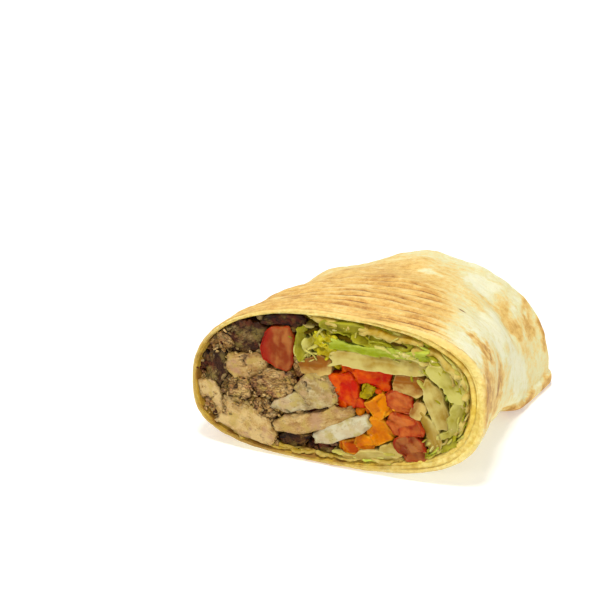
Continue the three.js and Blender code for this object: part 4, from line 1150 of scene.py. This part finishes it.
# ---------- thin leaves, bits and crumbs ----------
def sheet(path, front, deep, thick, seed, curl=0.0, ripple=0.3, ragged=0.5, drift=0.0):
    """A leaf that follows path across the cut and runs deep into the wrap: points, faces and attributes.
    curl: how far its front bends aside and shows its face. drift: how far it moves aside for each millimetre
    that it runs back."""
    rows = 11
    path = np.asarray(path, float)
    reach = np.concatenate([[0], np.cumsum(np.linalg.norm(np.diff(path, axis=0), axis=1))])
    count = max(int(reach[-1] / 0.45), 6)
    s = np.linspace(0, reach[-1], count)
    line = np.stack([np.interp(s, reach, path[:, k]) for k in (0, 1)], 1)
    d = unit(np.gradient(line, axis=0))
    aside = np.stack([-d[:, 1], d[:, 0]], 1)
    S, D = np.meshgrid(s, deep * (np.arange(rows) / (rows - 1)) ** 1.5, indexing="ij")
    where = np.stack([S, D, np.full_like(S, seed * 11.3)], -1)
    off = ripple * (noise(where, (3.4, 7, 1), 102) + 0.4 * noise(where, (1.3, 4, 1), 103))
    off = off + curl * (1 + 0.5 * noise(where, (4, 9, 1), 101)) * (1 - smooth(-0.6, 3.4, D)) * 1.15
    off = off + drift * D
    ends = np.minimum(S, reach[-1] - S)
    fray = ragged * (noise(where, (2.0, 60, 1), 104) + 0.4 * noise(where, (0.7, 60, 1), 105))
    y = front + D + (fray + 1.2 * (1 - smooth(0, 1.4, ends))) * (1 - smooth(0, 2.8, D))
    p = np.stack([line[:, :1] + aside[:, :1] * off, y, line[:, 1:] + aside[:, 1:] * off], -1)
    n = unit(np.cross(np.gradient(p, axis=0), np.gradient(p, axis=1)))
    ribs = np.abs(noise(where, (2.2, 14, 1), 106))
    half = 0.5 * thick * (0.4 + 0.6 * smooth(0, 0.6, ends)) * (0.5 + 0.5 * smooth(0, 0.4, D))
    half = (half * (1.15 - 0.4 * ribs))[..., None]
    both = np.concatenate([(p + n * half).reshape(-1, 3), (p - n * half).reshape(-1, 3)])
    i, j = np.arange(count - 1)[:, None] * rows, np.arange(rows - 1)[None]
    top = np.stack([i + j, i + rows + j, i + rows + j + 1, i + j + 1], -1).reshape(-1, 4)
    under = count * rows
    around = [k * rows for k in range(count)] + [(count - 1) * rows + k for k in range(1, rows)]
    around += [k * rows + rows - 1 for k in range(count - 2, -1, -1)] + list(range(rows - 2, 0, -1))
    a, b = np.array(around), np.roll(around, -1)
    faces = np.concatenate([top, top[:, ::-1] + under, np.stack([b, a, a + under, b + under], 1)])
    one_side = {
        "edge": np.minimum(D * 0.5, ends), "crack": smooth(0.12, 0.03, ribs),
        "part": 0.5 + 0.5 * noise(where, 3, 107), "grain": np.stack([D + seed * 3.1, S, S * 0 + seed], -1),
    }
    attributes = {key: np.concatenate([v.reshape(under, *v.shape[2:])] * 2) for key, v in one_side.items()}
    return both, faces, attributes


def strand(x, z, length, turn, bend=0.0):
    """Path of a leaf or shred: its middle, length and turn from level in degrees, bent to one side."""
    t = np.linspace(-0.5, 0.5, 24)
    u, v = t * length, bend * (1 - 4 * t * t)
    c, s = math.cos(math.radians(turn)), math.sin(math.radians(turn))
    return np.stack([x + u * c - v * s, z + u * s + v * c], 1)


def leaf(x, z, length, turn, bend, front, *how):
    """A sheet at a place of the CAD's cut, front behind the knife's plane."""
    return sheet(strand(SHIFT_X + x, z, length, turn, bend), CUT + front, *how)


def ball(subdivisions):
    work = bmesh.new()
    bmesh.ops.create_icosphere(work, subdivisions=subdivisions, radius=1)
    points = np.array([v.co for v in work.verts])
    faces = np.array([[v.index for v in face.verts] for face in work.faces])
    work.free()
    return points, faces


BALL, SMALL_BALL = ball(3), ball(2)
random = np.random.default_rng(7)


def chunk(x, z, radius, back, stretch, sphere=BALL):
    """A torn lump with flat sides: its middle, radius, how far its front is behind the cut, how much longer
    than wide."""
    turn, seed = random.uniform(0, np.pi), random.uniform(0, 900)
    planes = random.normal(size=(12, 3))
    planes[0] = (0, -1, 0)
    planes /= np.linalg.norm(planes, axis=1, keepdims=True)
    points, faces = sphere
    dots = points @ planes.T
    r = np.min(np.where(dots > 0.05, random.uniform(0.62, 0.95, 12) / np.maximum(dots, 0.05), 9), axis=1)
    rough = 0.14 if radius > 0.8 else 0.4
    r = np.minimum(r, 1.2) * (1 + rough * fbm(points * max(radius, 0.8) + seed, 0.9, 111, 3))
    q = points * r[:, None] * radius
    u, v, y = q[:, 0] * math.sqrt(stretch), q[:, 2] / math.sqrt(stretch), q[:, 1] * 0.8
    c, s = math.cos(turn), math.sin(turn)
    p = np.stack([x + u * c - v * s, y - y.min() + CUT + back, z + u * s + v * c], 1)
    return p, faces, {
        "edge": np.clip(-q[:, 1] + 0.4, 0, 3), "grain": np.stack([u + seed, v, y], 1), "crack": 0 * y,
        "part": np.full(len(p), seed % 1),
    }


def joined(name, finish, slot, pieces):
    """Several pieces, each with its points, faces and attributes, and then its tint, as one mesh."""
    points, faces, attributes, base = [], [], {}, 0
    for (p, f, values), tint in pieces:
        points.append(p)
        faces.append(f + base)
        base += len(p)
        for key, v in {**values, "tint": np.full(len(p), tint)}.items():
            attributes.setdefault(key, []).append(v)
    attributes = {key: np.concatenate(v) for key, v in attributes.items()}
    mesh_object(name, np.concatenate(points), np.concatenate(faces), finish, attributes)


def spaces():
    """Places on the cut with nothing close behind the knife's plane: x, z, what is behind, distance inside
    the wall, the wall's nearest point, distance to a filled place."""
    scene = bpy.context.scene
    bpy.context.view_layer.update()
    graph = bpy.context.evaluated_depsgraph_get()
    places = cut_grid(0.5).reshape(-1, 2)
    gaps, filled = [], kdtree.KDTree(len(places))
    for (x, z), wall, k in zip(places, *to_wall(places)):
        hit, place, _, _, what, _ = scene.ray_cast(graph, (x * MM, (CUT - 6) * MM, z * MM), (0, 1, 0))
        far = hit and (place.y / MM - CUT > 1.5 or what.name.startswith(BEHIND))
        if wall > 0.3 and far and not what.name.startswith("bread"):
            gaps.append((x, z, what.name, wall, k))
        else:
            filled.insert((x, z, 0), 0)
    filled.balance()
    return [(*gap, filled.find((gap[0], gap[1], 0))[2]) for gap in gaps]


BEHIND = ("seasoned", "shredded", "crumbled", "packed")
gaps = spaces()
where, free = np.array([gap[:2] for gap in gaps]), np.array([gap[-1] for gap in gaps])
HOLES = (  # these stay open
    (32, 26.8, 2.4), (16.5, 41, 1.8), (-8.8, 40.4, 1.8), (-8.6, 33, 1.3), (-10, 7.6, 1.6), (-36, 27, 1.6),
)
for x, z, radius in HOLES:
    free[np.hypot(where[:, 0] - x, where[:, 1] - z) < radius] = 0
FILL = {  # finish, slot
    "meat_bits": ("meat_crumbly", "meat"), "shaded_bits": ("meat_shaded", "meat"),
    "charred_bits": ("meat_browned", "browned_meat"), "lettuce_shreds": ("lettuce", "lettuce"),
    "pepper_bits": ("red_pepper", "red_pepper"), "carrot_bits": ("carrot", "carrot"),
    "pale_shreds": ("lettuce_core", "lettuce"), "cabbage_shreds": ("cabbage", "cabbage"),
    "bright_shreds": ("lettuce_bright", "lettuce"),
}
SHREDS = ("lettuce_shreds", "pale_shreds", "cabbage_shreds", "bright_shreds")
SMALLEST_GAP, MOST_BITS = 0.6, 420
fill = {name: [] for name in FILL}
for count in range(MOST_BITS):
    k = int(np.argmax(free))
    if free[k] < SMALLEST_GAP:
        break
    x, z, behind, wall, beside_wall, _ = gaps[k]
    r = min(free[k], random.uniform(1.1, 2.4))
    chance, tint = random.uniform(), random.uniform(-0.1, 0.14)
    if behind.startswith(("seasoned", "crumbled")):
        # near the top, the bottom and at the top left the bits are darker: browned meat, with painted shade
        char_and_shade = (x < -20 and z > 22) or z > 38 or z < 11
        if char_and_shade:
            name = "charred_bits" if chance < 0.5 else "shaded_bits"
        else:
            name = "charred_bits" if chance < 0.12 else "meat_bits"
        made = chunk(x, z, r + 0.3, random.uniform(0.8, 1.6), random.uniform(1.1, 1.7))
    elif -1 < x < 22 and 7 < z < 29:
        name = "pepper_bits" if chance < 0.6 else "carrot_bits"
        made = chunk(x, z, min(r, 1.3) + 0.2, random.uniform(0.9, 2.0), random.uniform(1.1, 1.7))
    else:
        name = SHREDS[int(np.searchsorted((0.34, 0.66, 0.9), chance))]
        along_wall = np.degrees(np.arctan2(-room_in[beside_wall][0], room_in[beside_wall][1]))
        turn = along_wall + random.normal() * 14 if wall < 9 else random.uniform(0, 180)
        length = min(3.0 + 2.2 * r + random.uniform(0, 4), 11)
        curl = random.uniform(1.0, 2.2) * random.choice((-1, 1)) * (0.5 if wall < 4 else 1)
        path = strand(x, z, length, turn, random.normal() * 0.5)
        made = sheet(path, CUT + random.uniform(0.7, 2.0), 8, random.uniform(0.6, 1.0), count + 200, curl)
    fill[name].append((made, tint))
    free = np.minimum(free, np.linalg.norm(where - (x, z), axis=1) - 0.8 * r)
for name, pieces in fill.items():
    if pieces:
        joined(name, *FILL[name], pieces)

# crumbs and slivers that the knife dragged along the edges of the pieces
meat_edges = np.concatenate([OUTLINES[f"meat_0{k}"] for k in range(1, 9)])
dark_edges = np.concatenate([meat_edges, OUTLINES["meat_browned_01"], OUTLINES["meat_browned_02"]])
leafy = ("cabbage", "lettuce", "yellow_pepper_01")
leaf_edges = np.concatenate([q for node, q in OUTLINES.items() if node.startswith(leafy)])
for name, finish, slot, count, edges, longest in (  # longest: times as long as wide at most
    ("light_crumbs", "meat_crumbly", "meat", 200, meat_edges, 2.6),
    ("dark_crumbs", "meat_shaded", "browned_meat", 110, dark_edges, 2.6),
    ("pale_chips", "lettuce_core", "lettuce", 50, leaf_edges, 8),
    ("green_chips", "lettuce", "lettuce", 36, leaf_edges, 8),
):
    pieces = []
    for x, z in edges[random.integers(len(edges), size=count)] + random.normal(size=(count, 2)) * 0.9:
        ranges = (0.25, 0.7), (-0.25, 0.7), (longest / 3, longest)
        radius, back, stretch = (random.uniform(*limits) for limits in ranges)
        pieces.append(chunk(x, z, radius, back, stretch, SMALL_BALL))
    joined(name, finish, slot, zip(pieces, random.uniform(-0.04, 0.18, count)))


def at_wall(turn):
    """The inside of the flatbread at turn, a share of the way round, and the way in from it."""
    at, ring = np.asarray(turn) * AROUND, np.arange(AROUND)
    return [
        np.stack([np.interp(at, ring, way[:, k], period=AROUND) for k in (0, 1)], 1)
        for way in (room_loop, room_in)
    ]


# leaves that lie along the inside of the flatbread, over its inner layer
LINED = {
    "pale_lining": ("lettuce_core", "lettuce"), "leaf_lining": ("lettuce", "lettuce"),
    "core_lining": ("cabbage", "cabbage"),
}
LININGS = 28
fill = {name: [] for name in LINED}
for k in range(LININGS):
    turn, length = 0.17 + 0.27 * (k + random.uniform()) / LININGS, random.uniform(7, 17)
    high = smooth(0.3, 0.42, turn)
    least, most = -0.9 + 1.9 * high, 0.3 + 0.9 * smooth(0.1, 0.16, turn) + 2.8 * high
    inset = random.uniform(least, most) + 1.4 * smooth(0.2, 0.24, turn)
    inset = inset + np.linspace(0, random.normal() * 0.8, 24)
    at = np.clip((np.arange(24) / 23 - 0.5) * length / WALL_STEP + turn * AROUND, 0, AROUND - 1)
    loop, into = at_wall(at / AROUND)
    curl = random.uniform(0.7, 1.9) * (0.5 if 0.22 < turn < 0.32 else 1)
    front, thick = CUT + random.uniform(-0.1, 0.9), random.uniform(0.5, 0.9)
    made = sheet(loop + into * inset[:, None], front, 7, thick, 300 + k, curl, 0.4, 0.8, 0.18)
    fill[list(LINED)[int(random.integers(3))]].append((made, random.uniform(-0.1, 0.14)))
for name, pieces in fill.items():
    joined(name, *LINED[name], pieces)

# the flatbread's inner end, torn where the knife left it
TORN = [  # first and last place round the wall, inset at both, front, curl, how much lighter
    (0.17, 0.25, 0.2, 1.0, 0.6, 0.7, 0.06), (0.23, 0.33, 1.0, 0.1, 0.4, 1.1, 0.1),
    (0.31, 0.4, 0.4, 1.6, 0.3, 1.7, -0.02), (0.35, 0.44, 2.6, 1.2, 1.0, 1.2, 0.0),
    (0.385, 0.48, 0.3, 1.0, 0.3, 1.4, -0.08), (0.46, 0.545, 0.8, 0.1, 0.2, 1.0, 0.02),
    (-0.13, -0.02, 0.1, 0.5, 0.4, 0.3, -0.2), (-0.075, 0.045, 1.1, 0.3, 0.6, 0.4, -0.14),
    (-0.01, 0.12, 0.9, 0.3, 0.2, 0.3, -0.06),
]
pieces = []
for seed, (first, last, inset, inset_end, front, curl, tint) in enumerate(TORN, 500):
    loop, into = at_wall(np.linspace(first, last, 40))
    path = loop + into * np.linspace(inset, inset_end, 40)[:, None]
    thick = 1.5 if last > 0.13 else 0.9
    pieces.append((sheet(path, CUT + front, 7, thick, seed, curl, 0.5, 1.1, 0.18), tint))
joined("torn_bread", "torn_bread", "bread", pieces)

# thin leaves between the long ones at the top and at the bottom
LAYERS = [  # x, z, length, turn, bend, front, curl, finish, how much lighter
    (4, 40.8, 15, -4, 0.5, 0.4, -1.6, 1, 0.04), (14, 41.4, 13, -12, 0.4, 0.3, -1.4, 0, 0),
    (9, 39.0, 12, -6, -0.3, 0.9, -1.5, 2, 0.08), (19, 38.8, 12, -16, 0.5, 0.6, -1.7, 0, 0),
    (23.5, 35.6, 11, -34, 0.5, 0.5, -1.5, 1, 0.04), (1, 38.6, 8, 8, 0.4, 1.0, -1.2, 2, 0.08),
    (-5.3, 39.7, 4.4, 62, 0.4, 0.2, -0.9, 0, 0.1), (26, 32, 9, -50, 0.6, 0.8, -1.4, 0, 0),
    # the leaf at x 14.5, z 38.9 is much lighter: a painted highlight
    (14.5, 38.9, 9, -8, 0.3, -0.3, -1.2, 0, 0.24), (8, 5.4, 14, 5, 0.4, 0.1, -0.9, 0, 0),
    (14, 7.0, 9, 12, 0.5, 0.0, -0.8, 0, 0), (2.5, 4.6, 9, 0, 0.3, 0.3, -0.7, 0, 0),
    (11, 4.2, 12, 2, 0.3, 0.2, -0.6, 2, 0.08), (33, 15, 9, -98, -0.6, 0.0, 1.0, 1, 0.04),
    (25.4, 28.8, 8, -46, 0.6, 0.0, -1.0, 0, 0), (28.5, 9.5, 8, 50, -0.5, 0.1, 0.9, 2, 0.08),
    (18.6, 40.2, 8, -20, 0.4, -0.2, -0.8, 3, 0), (22.6, 37.6, 5, -34, 0.3, -0.1, -0.7, 3, 0),
    (-7.4, 40.0, 5, 34, 0.3, 0.1, -0.6, 3, 0), (3.4, 39.9, 7, 2, 0.3, 0.0, -0.8, 3, 0.1),
]
# the fourth finish is near-black leaves that stand for shade in the gaps, a painted shade
for shade, finish in enumerate(("lettuce_core", "lettuce", "lettuce_bright", "lettuce_dark")):
    pieces = [
        (leaf(*row, 8, 0.7, seed, curl, 0.5, 0.7, -0.16), tint)
        for seed, (*row, curl, of_shade, tint) in enumerate(LAYERS, 400) if of_shade == shade
    ]
    joined(f"leaf_layers_{shade + 1}", finish, "lettuce", pieces)

# the curled yellow shreds beside the tomato wedge: x, z, length, turn, bend, front
PALE_CURLS = [
    (-9.2, 33.4, 6.5, 112, 1.3, -0.2), (-7.2, 35.0, 5.5, 24, 0.8, 0.0), (-6.0, 33.0, 5, 14, -0.7, 0.1),
    (-7.6, 31.4, 5, 150, -0.8, -0.1),
]
YELLOW_CURLS = [
    (-1.6, 37.4, 6, 160, 0.7, -0.1), (-3.2, 34.2, 5, 62, -0.8, 0.0), (1.2, 33.4, 5.5, 112, 0.6, -0.1),
    (1.8, 37.2, 5.5, 30, -0.6, 0.2), (-1.2, 35.6, 7, 12, 0.8, -0.3),
]
for name, finish, slot, table, thick, first_seed, curl, tint in (
    ("pale_curls", "lettuce_core", "lettuce", PALE_CURLS, 0.6, 70, 0.9, 0.1),
    ("yellow_curls", "yellow_pepper", "yellow_pepper", YELLOW_CURLS, 0.9, 90, 1.2, 0.05),
):
    pieces = [(leaf(*row, 5, thick, first_seed + k, curl * (-1) ** k), tint) for k, row in enumerate(table)]
    joined(name, finish, slot, pieces)

# ---------- floor, light, camera ----------
m = Finish("pale_floor", Roughness=0.6, Specular_IOR_Level=0.2)
m.set(Emission_Color=(1, 1, 1, 1), Emission_Strength=0.34)
m.set(Base_Color=m.ramp(m.noise(60, 2), (0.3, (232, 232, 230)), (0.7, (235, 235, 234))))
FLOOR_HALF, FLOOR_Z = 3, -0.0004  # in metres
corners = [(x * FLOOR_HALF, y * FLOOR_HALF, FLOOR_Z) for x, y in ((-1, -1), (1, -1), (1, 1), (-1, 1))]
floor_mesh = bpy.data.meshes.new("floor")
floor_mesh.from_pydata(corners, [], [(0, 1, 2, 3)])
floor_mesh.materials.append(FINISHES["pale_floor"])
floor = bpy.data.objects.new("floor", floor_mesh)
bpy.context.scene.collection.objects.link(floor)

world = bpy.data.worlds.new("studio")
world.use_nodes = True
world.node_tree.nodes["Background"].inputs["Color"].default_value = (1, 1, 1, 1)
world.node_tree.nodes["Background"].inputs["Strength"].default_value = 0.45
bpy.context.scene.world = world


def aimed(name, data, place, target):
    made = bpy.data.objects.new(name, data)
    bpy.context.scene.collection.objects.link(made)
    made.location = place
    made.rotation_mode = "QUATERNION"
    made.rotation_quaternion = (Vector(target) - made.location).to_track_quat("-Z", "Y")
    return made


for name, place, size, power, colour in (
    ("key", (0.05, -0.3, 0.9), 0.2, 5.6, (1.0, 0.98, 0.94)),
    ("fill", (-0.5, -0.8, 0.3), 0.16, 1.9, (1, 1, 1)),
    ("side", (0.8, -0.3, 0.35), 0.4, 0.7, (1, 1, 1)),
    ("back", (-0.3, 0.5, 0.6), 0.5, 1.2, (1, 1, 1)),
):
    lamp = bpy.data.lights.new(name, "AREA")
    lamp.shape, lamp.size, lamp.energy, lamp.color = "DISK", size, power, colour
    aimed(name, lamp, place, (0, 0, 0.02))

camera_data = bpy.data.cameras.new("camera")
camera_data.lens, camera_data.sensor_width = 120, 36
camera_data.clip_start, camera_data.clip_end = 0.05, 10
CAMERA_AT, CAMERA_AIM = Vector((159.42, -477.15, 279.59)), Vector((-46.01, 58.03, 0))  # in millimetres
camera = aimed("camera", camera_data, CAMERA_AT * MM, CAMERA_AIM * MM)
bpy.context.scene.camera = camera
bpy.context.scene.view_settings.view_transform = "Standard"
bpy.context.scene.view_settings.look = "None"
